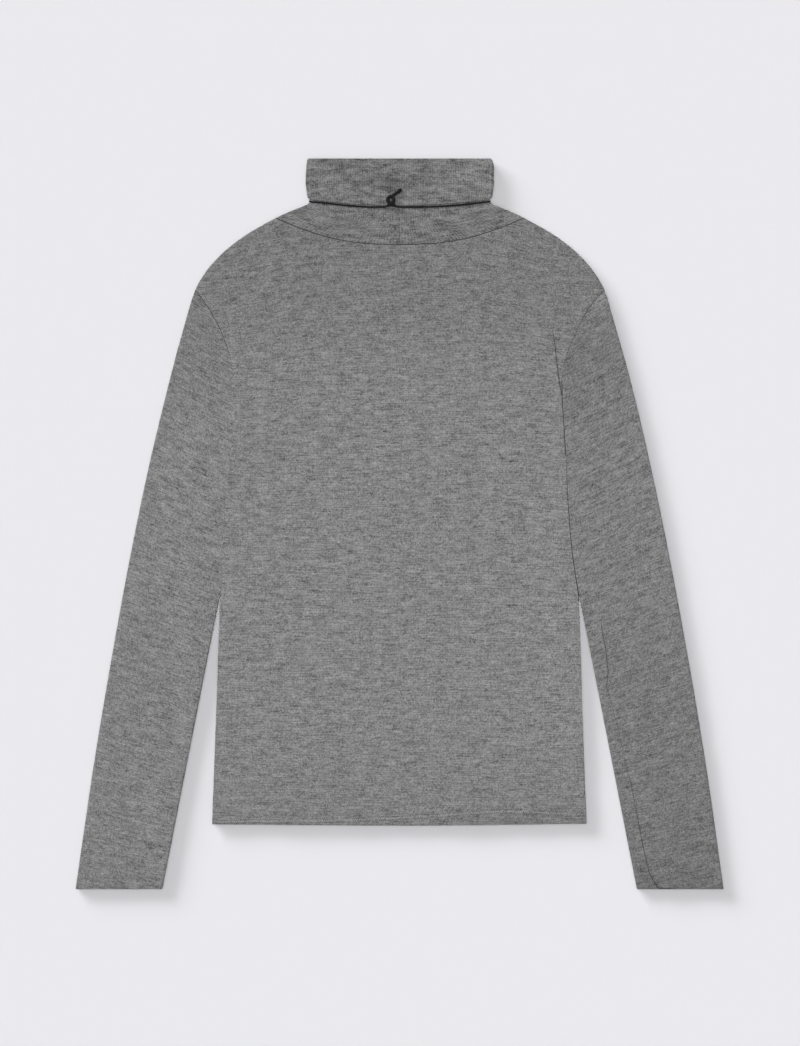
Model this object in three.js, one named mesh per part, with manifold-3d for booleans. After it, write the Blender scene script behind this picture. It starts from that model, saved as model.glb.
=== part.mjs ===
// Turtleneck sweater of fine grey jersey, laid flat with its back up, in millimetres, +Z up.
// X runs across the garment, Y from the hem towards the collar. The origin is under the middle of
// the whole garment, on the surface it lies on. Each cut piece is one closed wall of cloth.
import * as THREE from "three";
import { mergeVertices } from "three/addons/utils/BufferGeometryUtils.js";
import Module from "manifold-3d";

const wasm = await Module();
wasm.setup();

// Cloth and how it lies
const CLOTH = 1.0; // wall of one layer, with its nap
const SEAM_GAP = 0.3; // between two pieces that are sewn together
const SIDE_GAP = 0.6; // between the body's side and the sleeve that lies against it
const LIE_HEIGHT = 3.4; // top of the upper layer, away from folded edges
const EDGE_PUFF = 1.2; // how much higher the cloth stands beside a folded edge
const PUFF_REACH = 15;
const ROLL = 4; // reach of the rounding at a folded edge
const EDGE_LEVEL = 2.2; // height of the edge line of the body and sleeves

// Landmarks
const TIP_Y = 234.5; // shoulder tip, where the armhole starts
const UNDERARM_Y = 62;
const NECK_Y = 306; // neck point, where shoulder and collar meet
const CUFF_Y = -365.4;
const CUFF_INNER_X = 237.1;
const INNER_SLOPE = 0.1975; // of the sleeve's inner edge below the underarm, across per length
const FRONT_HEM_LIFT = 1.5; // the front hem ends a little inside the back hem

// Half-widths of the outer edge from the collar's fold to the cuff, left and right of the middle
const OUTLINE = [
  { y: 366, left: 90.2, right: 89.8 },
  { y: 358, left: 91.0, right: 92.2 },
  { y: 343, left: 91.8, right: 92.2 },
  { y: 329, left: 90.3, right: 90.6 },
  { y: 324, left: 89.8, right: 90.2 },
  { y: 320.5, left: 91.0, right: 91.2 },
  { y: 317.5, left: 96.6, right: 97.6 },
  { y: 311.5, left: 111.6, right: 112.2 },
  { y: 306, left: 124.2, right: 124.6 },
  { y: 288, left: 155.6, right: 156.4 },
  { y: 270, left: 178.3, right: 178.9 },
  { y: 252, left: 194.2, right: 194.7 },
  { y: 234.5, left: 204.3, right: 204.8 },
  { y: 204, left: 213.9, right: 214.1 },
  { y: 144, left: 230.1, right: 230.9 },
  { y: 44, left: 253.9, right: 254.3 },
  { y: -76, left: 277.8, right: 278.2 },
  { y: -236, left: 305.3, right: 305.7 },
  { y: -365.4, left: 324.3, right: 324.3 },
];

// Half-widths of the body panels: the side seam from the hem, the underarm, the armhole, the tip
const PANEL_EDGE = [
  { y: -303, left: 187.8, right: 188.0 },
  { y: -196, left: 183.9, right: 184.1 },
  { y: -76, left: 179.8, right: 180.0 },
  { y: -52, left: 178.2, right: 176.4 },
  { y: -28, left: 177.2, right: 172.4 },
  { y: 12, left: 174.9, right: 169.0 },
  { y: 62, left: 170.4, right: 166.6 },
  { y: 104, left: 165.6, right: 164.0 },
  { y: 128, left: 164.4, right: 162.6 },
  { y: 146, left: 165.2, right: 162.4 },
  { y: 170, left: 170.6, right: 167.4 },
  { y: 194, left: 179.2, right: 177.4 },
  { y: 214, left: 190.0, right: 188.0 },
  { y: 234.5, left: 204.3, right: 204.8 },
];

// Neck seams, from the middle to the neck point: the back one shows, the front one is lower
const NECK_SEAM = [
  { x: 0, back: 279.4, front: 234 },
  { x: 32, back: 280.7, front: 238 },
  { x: 64, back: 285.2, front: 252 },
  { x: 96, back: 294.6, front: 276 },
  { x: 124.2, back: 306, front: 306 },
];

// Hem of the back panel across its width
const HEM = [
  { x: -190, y: -300.5 },
  { x: 0, y: -301.8 },
  { x: 190, y: -299.9 },
];

// Collar: a tube from the neck seam up to a fold, turned down once outside itself
const COLLAR_TOP = 5.2; // upper face of its inner tube
const COLLAR_UNDER = 2.2; // lower face of its inner tube, over the layer turned under it
const COLLAR_RISE_TOP = { from: 292, to: 316 };
const COLLAR_RISE_UNDER = { from: 296, to: 310 };
const COLLAR_LEVEL = 3.7; // height of its side edges
const COLLAR_LEVEL_RISE = { from: 296, to: 314 };
const COLLAR_ROLL = 2.5; // reach of the rounding at its side folds
const COLLAR_ROLL_CLIMB = 0.3; // share of its height over which the neck's rounding tightens to that
const FOLD_Y = 363.9;
const FOLD_RADIUS = 1.1; // of the middle of the cloth, over the fold
const TURN_DOWN_PRESS = 0.9; // how far the back turn-down sinks onto the tube at its lower edge
const TURN_DOWN_SIDE_Y = 327; // its lower edge at the two side folds
const TURN_DOWN_BACK = { middle: 318.3, corner: 324.3 };
const TURN_DOWN_FRONT = { middle: 329.5, corner: 329.5 };

// Soft folds: centre, turn from the X axis in degrees, length, width and rise of each
const FOLDS = [
  { name: "left neck, diagonal", x: -112, y: 262, turn: -32, length: 100, width: 13, rise: 0.7 },
  { name: "left neck, trough beside it", x: -88, y: 240, turn: -40, length: 90, width: 12, rise: -0.5 },
  { name: "right neck, diagonal", x: 84, y: 262, turn: 24, length: 90, width: 12, rise: 0.6 },
  { name: "left armhole to chest", x: -128, y: 150, turn: -58, length: 130, width: 14, rise: 0.6 },
  { name: "right armhole to chest", x: 134, y: 165, turn: 66, length: 120, width: 12, rise: 0.7 },
  { name: "dimple on the left", x: -124, y: 68, turn: 10, length: 50, width: 14, rise: -0.7 },
  { name: "right side ridge", x: 158, y: -90, turn: 87, length: 230, width: 13, rise: 0.8 },
  { name: "right side trough", x: 112, y: -90, turn: 90, length: 150, width: 11, rise: -0.5 },
  { name: "across the waist", x: -20, y: -60, turn: 4, length: 220, width: 22, rise: 0.5 },
  { name: "left of the hem", x: -96, y: -250, turn: 82, length: 120, width: 20, rise: 0.6 },
  { name: "right of the hem", x: 58, y: -262, turn: 97, length: 100, width: 18, rise: 0.7 },
  { name: "left elbow", x: -222, y: 40, turn: 62, length: 120, width: 12, rise: 0.6 },
  { name: "left forearm", x: -252, y: -170, turn: 76, length: 150, width: 11, rise: -0.5 },
  { name: "right elbow", x: 226, y: 30, turn: -58, length: 130, width: 12, rise: 0.6 },
  { name: "right forearm", x: 262, y: -190, turn: -80, length: 170, width: 11, rise: -0.6 },
];

// Cord tied round the collar under the turn-down, with its knot and free tail at the back
const CORD_DIAMETER = 1.8;
const CORD_SIDES = 8;
const CORD_STEPS = 76;
const CORD_BACK_Z = 6.4;
const CORD_FRONT_Z = 1.0;
const CORD_EDGE_Z = 3.7;
const CORD_ROUTE = [
  [-10.3, 318.7, 8.2],
  [-13, 317.2, 7.7],
  [-17, 316.9, 6.7],
  [-24, 316.9, CORD_BACK_Z],
  [-36, 317.2, CORD_BACK_Z],
  [-50, 318.2, CORD_BACK_Z],
  [-66, 319.8, CORD_BACK_Z],
  [-80, 321.4, CORD_BACK_Z],
  [-88, 322.1, CORD_BACK_Z],
  [-90.9, 323.3, 5.7],
  [-92.0, 324.5, CORD_EDGE_Z],
  [-91.2, 325.8, 1.9],
  [-88, 326.8, CORD_FRONT_Z],
  [-80, 326.8, CORD_FRONT_Z],
  [-56, 325.6, CORD_FRONT_Z],
  [-28, 324.9, CORD_FRONT_Z],
  [0, 324.7, CORD_FRONT_Z],
  [28, 324.9, CORD_FRONT_Z],
  [56, 325.6, CORD_FRONT_Z],
  [80, 326.8, CORD_FRONT_Z],
  [88, 326.8, CORD_FRONT_Z],
  [91.4, 325.8, 1.9],
  [92.3, 324.5, CORD_EDGE_Z],
  [91.2, 323.3, 5.7],
  [88, 322.2, CORD_BACK_Z],
  [80, 321.2, CORD_BACK_Z],
  [66, 319.6, CORD_BACK_Z],
  [48, 318.0, CORD_BACK_Z],
  [30, 317.1, CORD_BACK_Z],
  [10, 316.9, CORD_BACK_Z],
  [0, 317.0, 6.8],
  [-3.6, 317.5, 7.8],
  [-6.2, 319.0, 8.2],
];
const KNOT = { x: -8.7, y: 324.2, z: 8.4, ringRadius: 3.1, strandRadius: 1.4 };
const TAIL = [
  [-7.0, 327.0, 8.5],
  [-3.6, 330.0, 8.6],
  [-0.2, 332.6, 8.6],
];
const TAIL_RADIUS = 1.2;
const TAIL_END_RADIUS = 1.5;

// How finely each piece is divided
const ROLL_STEPS = 3; // over a rounded edge
const ARMHOLE_STEPS = 7; // along the armhole between its rounded ends
const NECK_STEPS = 8; // along the neck seam between its rounded ends
const SHOULDER_STEPS = 4;
const SIDE_STEPS = 11; // from the hem to the underarm
const SLEEVE_STATIONS = 16;
const CURVE_POINTS = 90; // a seam line is sampled at these before it is divided
const CURVE_DIVISIONS = 900;
const TUBE_CLIMB = [0, 0.1, 0.2, 0.28, 0.4, 0.6, 0.8]; // rings of the inner tube, share of height
const FOLD_STEPS = 5; // over the collar's fold
const TURN_DOWN_STEPS = 4;
const SHOULDER_EASE = 2.5; // how fast the sleeve's rings turn from the armhole to square across
const CAP_EASE = 5; // how fast the curve of the armhole fades along the sleeve
const WELD = 1e-3; // vertices closer than this are one
const TINY = 1e-9;

const COLOURS = { jersey: "#7f7f7f", collar: "#747474", cord: "#17171a" };

const lerp = THREE.MathUtils.lerp;
const smooth = (value, from, to) => THREE.MathUtils.smoothstep(value, from, to);
const sideName = (side) => (side < 0 ? "left" : "right");

// A value of a table at a place between its rows, on a smooth curve that never overshoots them.
function along(table, key, column, at) {
  const rows = [...table].sort((a, b) => a[key] - b[key]);
  const last = rows.length - 1;
  const slope = (i) => (rows[i + 1][column] - rows[i][column]) / (rows[i + 1][key] - rows[i][key]);
  const tangent = (i) => {
    if (i === 0) return slope(0);
    if (i === last) return slope(last - 1);
    const before = slope(i - 1);
    const after = slope(i);
    return before * after <= 0 ? 0 : (2 * before * after) / (before + after);
  };
  let i = 0;
  while (i < last - 1 && at > rows[i + 1][key]) i += 1;
  const span = rows[i + 1][key] - rows[i][key];
  const t = (at - rows[i][key]) / span;
  if (at < rows[0][key]) return rows[0][column] + (at - rows[0][key]) * tangent(0);
  if (at > rows[last][key]) return rows[last][column] + (at - rows[last][key]) * tangent(last);
  const [a, b] = [rows[i][column], rows[i + 1][column]];
  const rise = t * t * (3 - 2 * t);
  return lerp(a, b, rise) + span * (t * (1 - t) ** 2 * tangent(i) - t * t * (1 - t) * tangent(i + 1));
}

const outlineAt = (y, side) => along(OUTLINE, "y", sideName(side), y);
const panelEdgeAt = (y, side) => along(PANEL_EDGE, "y", sideName(side), y);
const innerLineAt = (y) => CUFF_INNER_X - INNER_SLOPE * (y - CUFF_Y);
const innerEdgeAt = (y, side) => Math.max(panelEdgeAt(y, side) + SIDE_GAP, innerLineAt(y));
const neckSeamAt = (x, layer) => along(NECK_SEAM, "x", layer, Math.abs(x));
const hemAt = (x) => along(HEM, "x", "y", x);

// Distance in plan from a point to an edge given as half-widths over y, square to the edge.
function squareDistance(edgeAt, x, y, side) {
  const across = edgeAt(y, side) - side * x;
  const tilt = edgeAt(y + 0.5, side) - edgeAt(y - 0.5, side);
  return Math.abs(across) / Math.hypot(1, tilt);
}

// Distance in plan to the nearest folded or sewn outer edge of the body and sleeves.
function edgeDistance(x, y) {
  const side = x < 0 ? -1 : 1;
  const outer = squareDistance(outlineAt, x, y, side);
  const line = side * x > panelEdgeAt(y, side) ? innerEdgeAt : panelEdgeAt;
  const beyond = Math.hypot(side * x - panelEdgeAt(UNDERARM_Y, side), y - UNDERARM_Y);
  const inner = y > UNDERARM_Y ? beyond : squareDistance(line, x, y, side);
  return Math.min(outer, inner);
}

// Each fold is a ridge or trough with a round section that fades out towards its ends.
function foldsAt(x, y) {
  let rise = 0;
  for (const fold of FOLDS) {
    const turn = THREE.MathUtils.degToRad(fold.turn);
    const lengthwise = (x - fold.x) * Math.cos(turn) + (y - fold.y) * Math.sin(turn);
    const crosswise = (y - fold.y) * Math.cos(turn) - (x - fold.x) * Math.sin(turn);
    const reach = (2 * lengthwise) / fold.length;
    rise += fold.rise * Math.exp(-reach * reach - (crosswise / fold.width) ** 2);
  }
  return rise;
}

// Upper face of the upper layer, lower face of the lower layer, and the level of the edges.
function topAt(x, y) {
  const puff = EDGE_PUFF * Math.exp(-((edgeDistance(x, y) / PUFF_REACH) ** 2));
  const laid = LIE_HEIGHT + puff + foldsAt(x, y);
  return lerp(laid, COLLAR_TOP, smooth(y, COLLAR_RISE_TOP.from, COLLAR_RISE_TOP.to));
}
const underAt = (y) => COLLAR_UNDER * smooth(y, COLLAR_RISE_UNDER.from, COLLAR_RISE_UNDER.to);
const edgeLevelAt = (y) =>
  lerp(EDGE_LEVEL, COLLAR_LEVEL, smooth(y, COLLAR_LEVEL_RISE.from, COLLAR_LEVEL_RISE.to));

// Steps of a rounded edge: how far in from the edge, and how much of the full height is reached.
const rollAngle = (step) => (Math.PI / 2) * Math.min(step / ROLL_STEPS, 1);
const rollIn = (step, reach = ROLL) => reach * (1 - Math.cos(rollAngle(step)));
const rollFull = (step) => Math.sin(rollAngle(step));

// Points along a plan curve, close together near its two ends, where the pieces are rounded.
function seamPoints(curve, steps) {
  const length = curve.getLength();
  const points = [];
  for (let i = 0; i <= steps + 2 * ROLL_STEPS; i += 1) {
    const fromEnd = steps + 2 * ROLL_STEPS - i;
    let place = lerp(ROLL, length - ROLL, (i - ROLL_STEPS) / steps);
    if (i < ROLL_STEPS) place = rollIn(i);
    if (fromEnd < ROLL_STEPS) place = length - rollIn(fromEnd);
    points.push(curve.getPointAt(place / length));
  }
  return points;
}

// A fine plan curve through a function of one coordinate.
function planCurve(pointAt, from, to) {
  const points = [];
  for (let i = 0; i <= CURVE_POINTS; i += 1) points.push(pointAt(lerp(from, to, i / CURVE_POINTS)));
  const path = new THREE.SplineCurve(points);
  path.arcLengthDivisions = CURVE_DIVISIONS;
  return path;
}

// Plan points moved square to their own line, to the left of its direction.
function shiftedRow(points, distance) {
  return points.map((point, i) => {
    const before = points[Math.max(0, i - 1)];
    const after = points[Math.min(points.length - 1, i + 1)];
    const run = after.clone().sub(before).normalize();
    return new THREE.Vector2(point.x - run.y * distance, point.y + run.x * distance);
  });
}

// Armhole from the shoulder tip to the underarm, and a neck seam from left to right.
const armholeCurve = (side) =>
  planCurve((y) => new THREE.Vector2(side * panelEdgeAt(y, side), y), TIP_Y, UNDERARM_Y);
const neckCurve = (layer) => {
  const left = outlineAt(NECK_Y, -1);
  const right = outlineAt(NECK_Y, 1);
  return planCurve((x) => new THREE.Vector2(x, neckSeamAt(x, layer)), -left, right);
};
const armhole = {
  left: seamPoints(armholeCurve(-1), ARMHOLE_STEPS),
  right: seamPoints(armholeCurve(1), ARMHOLE_STEPS),
};
const neck = {
  back: seamPoints(neckCurve("back"), NECK_STEPS),
  front: seamPoints(neckCurve("front"), NECK_STEPS),
};

// A wall of cloth as one closed mesh. Each row is a list of places, each an outer point and the
// direction out of the cloth there; rows are joined in order, and a row is either a ring or an open
// line. The faces are turned so that they point outwards.
function wallGeometry(rows, ring) {
  const across = rows[0].length;
  const count = rows.length * across;
  const outer = rows.flat().map((place) => place.point);
  const inner = rows.flat().map((place) => place.point.clone().addScaledVector(place.out, -CLOTH));
  const positions = [...outer, ...inner].flatMap((point) => point.toArray());
  const faces = [];
  const quad = (a, b, c, d) => faces.push(a, b, c, a, c, d);
  const spans = ring ? across : across - 1;
  for (let i = 0; i < rows.length - 1; i += 1) {
    for (let j = 0; j < spans; j += 1) {
      const [a, b] = [i * across + j, i * across + ((j + 1) % across)];
      const [c, d] = [b + across, a + across];
      quad(a, b, c, d);
      quad(count + a, count + d, count + c, count + b);
    }
  }
  for (let j = 0; j < spans; j += 1) {
    const [a, b] = [j, (j + 1) % across];
    quad(a, count + a, count + b, b);
    const [c, d] = [count - across + a, count - across + b];
    quad(c, d, count + d, count + c);
  }
  for (let i = 0; !ring && i < rows.length - 1; i += 1) {
    const [a, b] = [i * across, (i + 1) * across];
    quad(a, b, count + b, count + a);
    const [c, d] = [a + across - 1, b + across - 1];
    quad(c, count + c, count + d, d);
  }
  const geometry = new THREE.BufferGeometry();
  geometry.setAttribute("position", new THREE.Float32BufferAttribute(positions, 3));
  geometry.setIndex(signedVolume(positions, faces) < 0 ? faces.reverse() : faces);
  geometry.computeVertexNormals();
  return geometry;
}

// Six times the volume inside a closed mesh, negative when its faces point inwards.
function signedVolume(positions, faces) {
  const corner = (index) => new THREE.Vector3().fromArray(positions, 3 * index);
  let volume = 0;
  for (let i = 0; i < faces.length; i += 3) {
    volume += corner(faces[i]).dot(corner(faces[i + 1]).cross(corner(faces[i + 2])));
  }
  return volume;
}

// One place of a wall: full is 0 on an edge line and 1 where the cloth lies flat, and outward is
// the plan direction out of the garment at that edge.
function clothPlace(plan, full, outward, edge, face, sense) {
  const point = new THREE.Vector3(plan.x, plan.y, lerp(edge, face, full));
  const flat = Math.sqrt(Math.max(0, 1 - full * full));
  const out = new THREE.Vector3(outward.x * flat, outward.y * flat, sense * full);
  return { point, out };
}

// Plan direction out of the garment, square to an edge given as half-widths over y.
function outwardAt(edgeAt, y, side) {
  const tilt = edgeAt(y + 0.5, side) - edgeAt(y - 0.5, side);
  return new THREE.Vector2(side, -tilt).normalize();
}

// A patch filled between four rows of plan points that share their corners.
function patchPoint(bottom, top, left, right, i, j) {
  const rows = left.length - 1;
  const columns = bottom.length - 1;
  const s = bottom[j].distanceTo(bottom[0]) / bottom[columns].distanceTo(bottom[0]);
  const v = left[i].distanceTo(left[0]) / left[rows].distanceTo(left[0]);
  const mix = (column) =>
    (1 - v) * bottom[j][column] +
    v * top[j][column] +
    (1 - s) * left[i][column] +
    s * right[i][column] -
    (1 - s) * ((1 - v) * bottom[0][column] + v * top[0][column]) -
    s * ((1 - v) * bottom[columns][column] + v * top[columns][column]);
  return new THREE.Vector2(mix("x"), mix("y"));
}

// Body panel: hem, side seams, armholes, shoulder seams and neck seam. The back lies on the front.
function bodyPanel(layer) {
  const back = layer === "back";
  const hemLift = back ? 0 : FRONT_HEM_LIFT;
  const inset = SEAM_GAP / 2;
  const hemHalf = panelEdgeAt(HEM[0].y, 1);
  const sideRow = (side) => {
    const points = [];
    for (let i = 0; i < SIDE_STEPS; i += 1) {
      const y = lerp(hemAt(side * hemHalf) + hemLift, UNDERARM_Y, i / SIDE_STEPS);
      points.push(new THREE.Vector2(side * panelEdgeAt(y, side), y));
    }
    const seam = [...armhole[sideName(side)]].reverse();
    return shiftedRow([...points, ...seam], side * inset);
  };
  const shoulderRow = (side) => {
    const points = [];
    for (let i = 0; i < ROLL_STEPS + SHOULDER_STEPS; i += 1) {
      const start = TIP_Y + 0.5 * rollIn(Math.min(i, ROLL_STEPS));
      const y = lerp(start, NECK_Y, Math.max(0, i - ROLL_STEPS) / SHOULDER_STEPS);
      points.push(new THREE.Vector2(side * outlineAt(y, side), y));
    }
    return points;
  };
  const [left, right] = [sideRow(-1), sideRow(1)];
  const neckRow = shiftedRow(neck[layer], -inset);
  const top = [...shoulderRow(-1), ...neckRow, ...shoulderRow(1).reverse()];
  const columns = top.length - 1;
  const rows = left.length - 1;
  [top[0], top[columns]] = [left[rows], right[rows]];
  const bottom = top.map((point, j) => {
    const spread = (point.x - top[0].x) / (top[columns].x - top[0].x);
    let x = lerp(left[0].x, right[0].x, spread);
    if (j < ROLL_STEPS) x = left[0].x + rollIn(j);
    if (columns - j < ROLL_STEPS) x = right[0].x - rollIn(columns - j);
    x = THREE.MathUtils.clamp(x, left[0].x, right[0].x);
    return new THREE.Vector2(x, hemAt(x) + hemLift);
  });
  const neckStart = ROLL_STEPS + SHOULDER_STEPS;
  const grid = [];
  for (let i = 0; i <= rows; i += 1) {
    const line = [];
    const aboveUnderarm = i - SIDE_STEPS;
    for (let j = 0; j <= columns; j += 1) {
      const side = 2 * j < columns ? -1 : 1;
      const plan = patchPoint(bottom, top, left, right, i, j);
      const fromSide = Math.min(j, columns - j);
      const openSide = aboveUnderarm > 0 ? rollFull(aboveUnderarm) : 0;
      const fromNeck = Math.min(j, columns - j) - neckStart;
      const openTop = fromNeck > 0 ? rollFull(fromNeck) : 0;
      const sideDeficit = (1 - rollFull(fromSide)) * (1 - openSide);
      const topDeficit = (1 - rollFull(rows - i)) * (1 - openTop);
      const full = (1 - sideDeficit) * (1 - topDeficit);
      const outward = outwardAt(panelEdgeAt, Math.min(plan.y, UNDERARM_Y), side)
        .multiplyScalar(sideDeficit)
        .addScaledVector(outwardAt(outlineAt, plan.y, side), topDeficit + TINY)
        .normalize();
      const seamLevel = edgeLevelAt(plan.y) + (back ? inset : -inset);
      const face = back ? topAt(plan.x, plan.y) : underAt(plan.y);
      line.push(clothPlace(plan, full, outward, seamLevel, face, back ? 1 : -1));
    }
    grid.push(line);
  }
  return wallGeometry(grid, false);
}

// Sleeve: one piece closed to a tube that lies flat, from the armhole to the cuff. Its rings run
// over the upper layer from the outer fold to the inner edge and back under it.
function sleeve(side) {
  const end = shiftedRow(armhole[sideName(side)], (side * SEAM_GAP) / 2);
  const steps = end.length - 1;
  const chord = (s) => end[0].clone().lerp(end[steps], s);
  const rings = [];
  for (let i = 0; i <= SLEEVE_STATIONS; i += 1) {
    const v = i / SLEEVE_STATIONS;
    const innerY = lerp(UNDERARM_Y, CUFF_Y, v);
    const outerY = innerY + (TIP_Y - UNDERARM_Y) * (1 - v) ** SHOULDER_EASE;
    const outerEdge = new THREE.Vector2(side * outlineAt(outerY, side), outerY);
    const innerEdge = new THREE.Vector2(side * innerEdgeAt(innerY, side), innerY);
    const outerOut = outwardAt(outlineAt, outerY, side);
    const innerOut = outwardAt(innerEdgeAt, innerY, side).negate();
    if (i === SLEEVE_STATIONS) {
      outerOut.set(side, 0);
      innerOut.set(-side, 0);
    }
    const plans = [];
    for (let j = 0; j <= steps; j += 1) {
      const outerEnd = outerEdge.clone().addScaledVector(outerOut, -rollIn(j));
      const innerEnd = innerEdge.clone().addScaledVector(innerOut, -rollIn(steps - j));
      const s = (j - ROLL_STEPS) / (steps - 2 * ROLL_STEPS);
      let plan = outerEnd.clone().lerp(innerEnd, THREE.MathUtils.clamp(s, 0, 1));
      const bulge = end[j].clone().sub(chord(THREE.MathUtils.clamp(s, 0, 1)));
      if (s > 0 && s < 1) plan.addScaledVector(bulge, (1 - v) ** CAP_EASE);
      if (i === 0) plan = end[j];
      plans.push(plan);
    }
    const ring = [];
    for (let k = 0; k < 2 * steps; k += 1) {
      const upper = k <= steps;
      const j = upper ? k : 2 * steps - k;
      const full = rollFull(Math.min(j, steps - j));
      const outward = 2 * j < steps ? outerOut : innerOut;
      const face = upper ? topAt(plans[j].x, plans[j].y) : underAt(plans[j].y);
      ring.push(clothPlace(plans[j], full, outward, EDGE_LEVEL, face, upper ? 1 : -1));
    }
    rings.push(ring);
  }
  return wallGeometry(rings, true);
}

// Collar: rings from the neck seam up the inner tube, over the fold and down the turn-down. Offset
// is how far the middle of the cloth stands out of the middle of the inner tube.
function collar() {
  const steps = neck.back.length - 1;
  const seams = {
    back: shiftedRow(neck.back, SEAM_GAP / 2),
    front: shiftedRow(neck.front, SEAM_GAP / 2),
  };
  const profile = TUBE_CLIMB.map((climb) => ({ climb, offset: 0, over: 0, turned: 0 }));
  for (let i = 0; i <= FOLD_STEPS; i += 1) {
    const angle = (Math.PI * i) / FOLD_STEPS;
    profile.push({ climb: 1, offset: FOLD_RADIUS * (1 - Math.cos(angle)), over: angle, turned: 0 });
  }
  for (let i = 1; i <= TURN_DOWN_STEPS; i += 1) {
    profile.push({ climb: 1, offset: 2 * FOLD_RADIUS, over: Math.PI, turned: i / TURN_DOWN_STEPS });
  }
  const rings = profile.map((row) => {
    const ring = [];
    for (let k = 0; k < 2 * steps; k += 1) {
      const upper = k <= steps;
      const j = upper ? k : 2 * steps - k;
      const seam = seams[upper ? "back" : "front"][j];
      const side = 2 * j < steps ? -1 : 1;
      const fromSide = Math.min(j, steps - j);
      const spread = Math.abs(seam.x) / outlineAt(NECK_Y, side);
      const lower = upper ? TURN_DOWN_BACK : TURN_DOWN_FRONT;
      const cornerTurn = Math.max(0, 1 - fromSide / ROLL_STEPS);
      const lowerLine = lerp(lower.middle, lower.corner, Math.min(spread, 1) ** 2);
      const lowerEdge = lerp(lowerLine, TURN_DOWN_SIDE_Y, cornerTurn);
      const y = lerp(lerp(seam.y, FOLD_Y, row.climb), lowerEdge, row.turned);
      const sideY = lerp(lerp(NECK_Y, FOLD_Y, row.climb), TURN_DOWN_SIDE_Y, row.turned);
      const half = outlineAt(sideY, side) - CLOTH / 2 + row.offset;
      const tightened = smooth(row.climb, 0, COLLAR_ROLL_CLIMB);
      const reach = lerp(ROLL, COLLAR_ROLL, tightened) + row.offset;
      const flatPart = half - reach;
      const neckFlat = outlineAt(NECK_Y, side) - ROLL;
      let x = (flatPart * seam.x) / neckFlat;
      if (fromSide < ROLL_STEPS) x = side * (half - rollIn(fromSide, reach));
      if (row.climb === 0) x = seam.x;
      const press = upper ? TURN_DOWN_PRESS * row.turned : 0;
      const raised = row.offset - press - CLOTH / 2;
      const full = rollFull(fromSide);
      const face = upper ? topAt(x, y) + raised : underAt(y) - raised;
      const level = edgeLevelAt(sideY);
      const tilt = outwardAt(outlineAt, sideY, side);
      const ringOut = clothPlace({ x, y }, full, tilt, level, face, upper ? 1 : -1);
      const middle = ringOut.point.clone();
      const out = ringOut.out.clone().multiplyScalar(Math.cos(row.over));
      out.y += Math.sin(row.over);
      middle.y += FOLD_RADIUS * Math.sin(row.over);
      out.normalize();
      ring.push({ point: middle.addScaledVector(out, CLOTH / 2), out });
    }
    return ring;
  });
  return wallGeometry(rings, true);
}

// A round tube along a smooth path through the given points.
function tubeGeometry(points, radius, steps) {
  const places = points.map((point) => new THREE.Vector3(...point));
  const path = new THREE.CatmullRomCurve3(places, false, "centripetal");
  const section = new THREE.Shape();
  for (let i = 0; i < CORD_SIDES; i += 1) {
    const angle = (2 * Math.PI * i) / CORD_SIDES;
    const corner = [radius * Math.cos(angle), radius * Math.sin(angle)];
    if (i === 0) section.moveTo(...corner);
    else section.lineTo(...corner);
  }
  section.closePath();
  return new THREE.ExtrudeGeometry(section, { steps, bevelEnabled: false, extrudePath: path });
}

// A geometry as a solid that can be joined to another.
function solidOf(geometry) {
  const bare = new THREE.BufferGeometry();
  const loose = geometry.index ? geometry.toNonIndexed() : geometry;
  bare.setAttribute("position", loose.getAttribute("position"));
  const merged = mergeVertices(bare, WELD);
  const vertProperties = new Float32Array(merged.getAttribute("position").array);
  const triVerts = new Uint32Array(merged.index.array);
  return new wasm.Manifold(new wasm.Mesh({ numProp: 3, vertProperties, triVerts }));
}

// Knot: a round loop of the cord that lies on the turn-down, with the free tail drawn out of it.
function knot() {
  const ring = new THREE.TorusGeometry(KNOT.ringRadius, KNOT.strandRadius, CORD_SIDES, 20);
  ring.translate(KNOT.x, KNOT.y, KNOT.z);
  const tail = tubeGeometry(TAIL, TAIL_RADIUS, 4);
  const end = new THREE.SphereGeometry(TAIL_END_RADIUS, 10, 6);
  end.translate(...TAIL[TAIL.length - 1]);
  const mesh = [ring, tail, end].map(solidOf).reduce((sum, next) => sum.add(next)).getMesh();
  const geometry = new THREE.BufferGeometry();
  geometry.setAttribute("position", new THREE.Float32BufferAttribute(mesh.vertProperties, 3));
  geometry.setIndex([...mesh.triVerts]);
  geometry.computeVertexNormals();
  return geometry;
}

const matt = (color, roughness) =>
  new THREE.MeshStandardMaterial({ color, roughness, metalness: 0 });
const jersey = () => matt(COLOURS.jersey, 0.95);
const collarJersey = () => matt(COLOURS.collar, 0.95);
const waxedCord = () => matt(COLOURS.cord, 0.6);

const sweater = new THREE.Group();
function addPiece(name, geometry, material) {
  const mesh = new THREE.Mesh(geometry, material);
  mesh.name = name;
  sweater.add(mesh);
}
addPiece("front_panel", bodyPanel("front"), jersey());
addPiece("back_panel", bodyPanel("back"), jersey());
addPiece("sleeve_left", sleeve(-1), jersey());
addPiece("sleeve_right", sleeve(1), jersey());
addPiece("collar", collar(), collarJersey());
addPiece("neck_cord", tubeGeometry(CORD_ROUTE, CORD_DIAMETER / 2, CORD_STEPS), waxedCord());
addPiece("cord_knot", knot(), waxedCord());

export default sweater;
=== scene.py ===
import math
from collections import namedtuple

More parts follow.
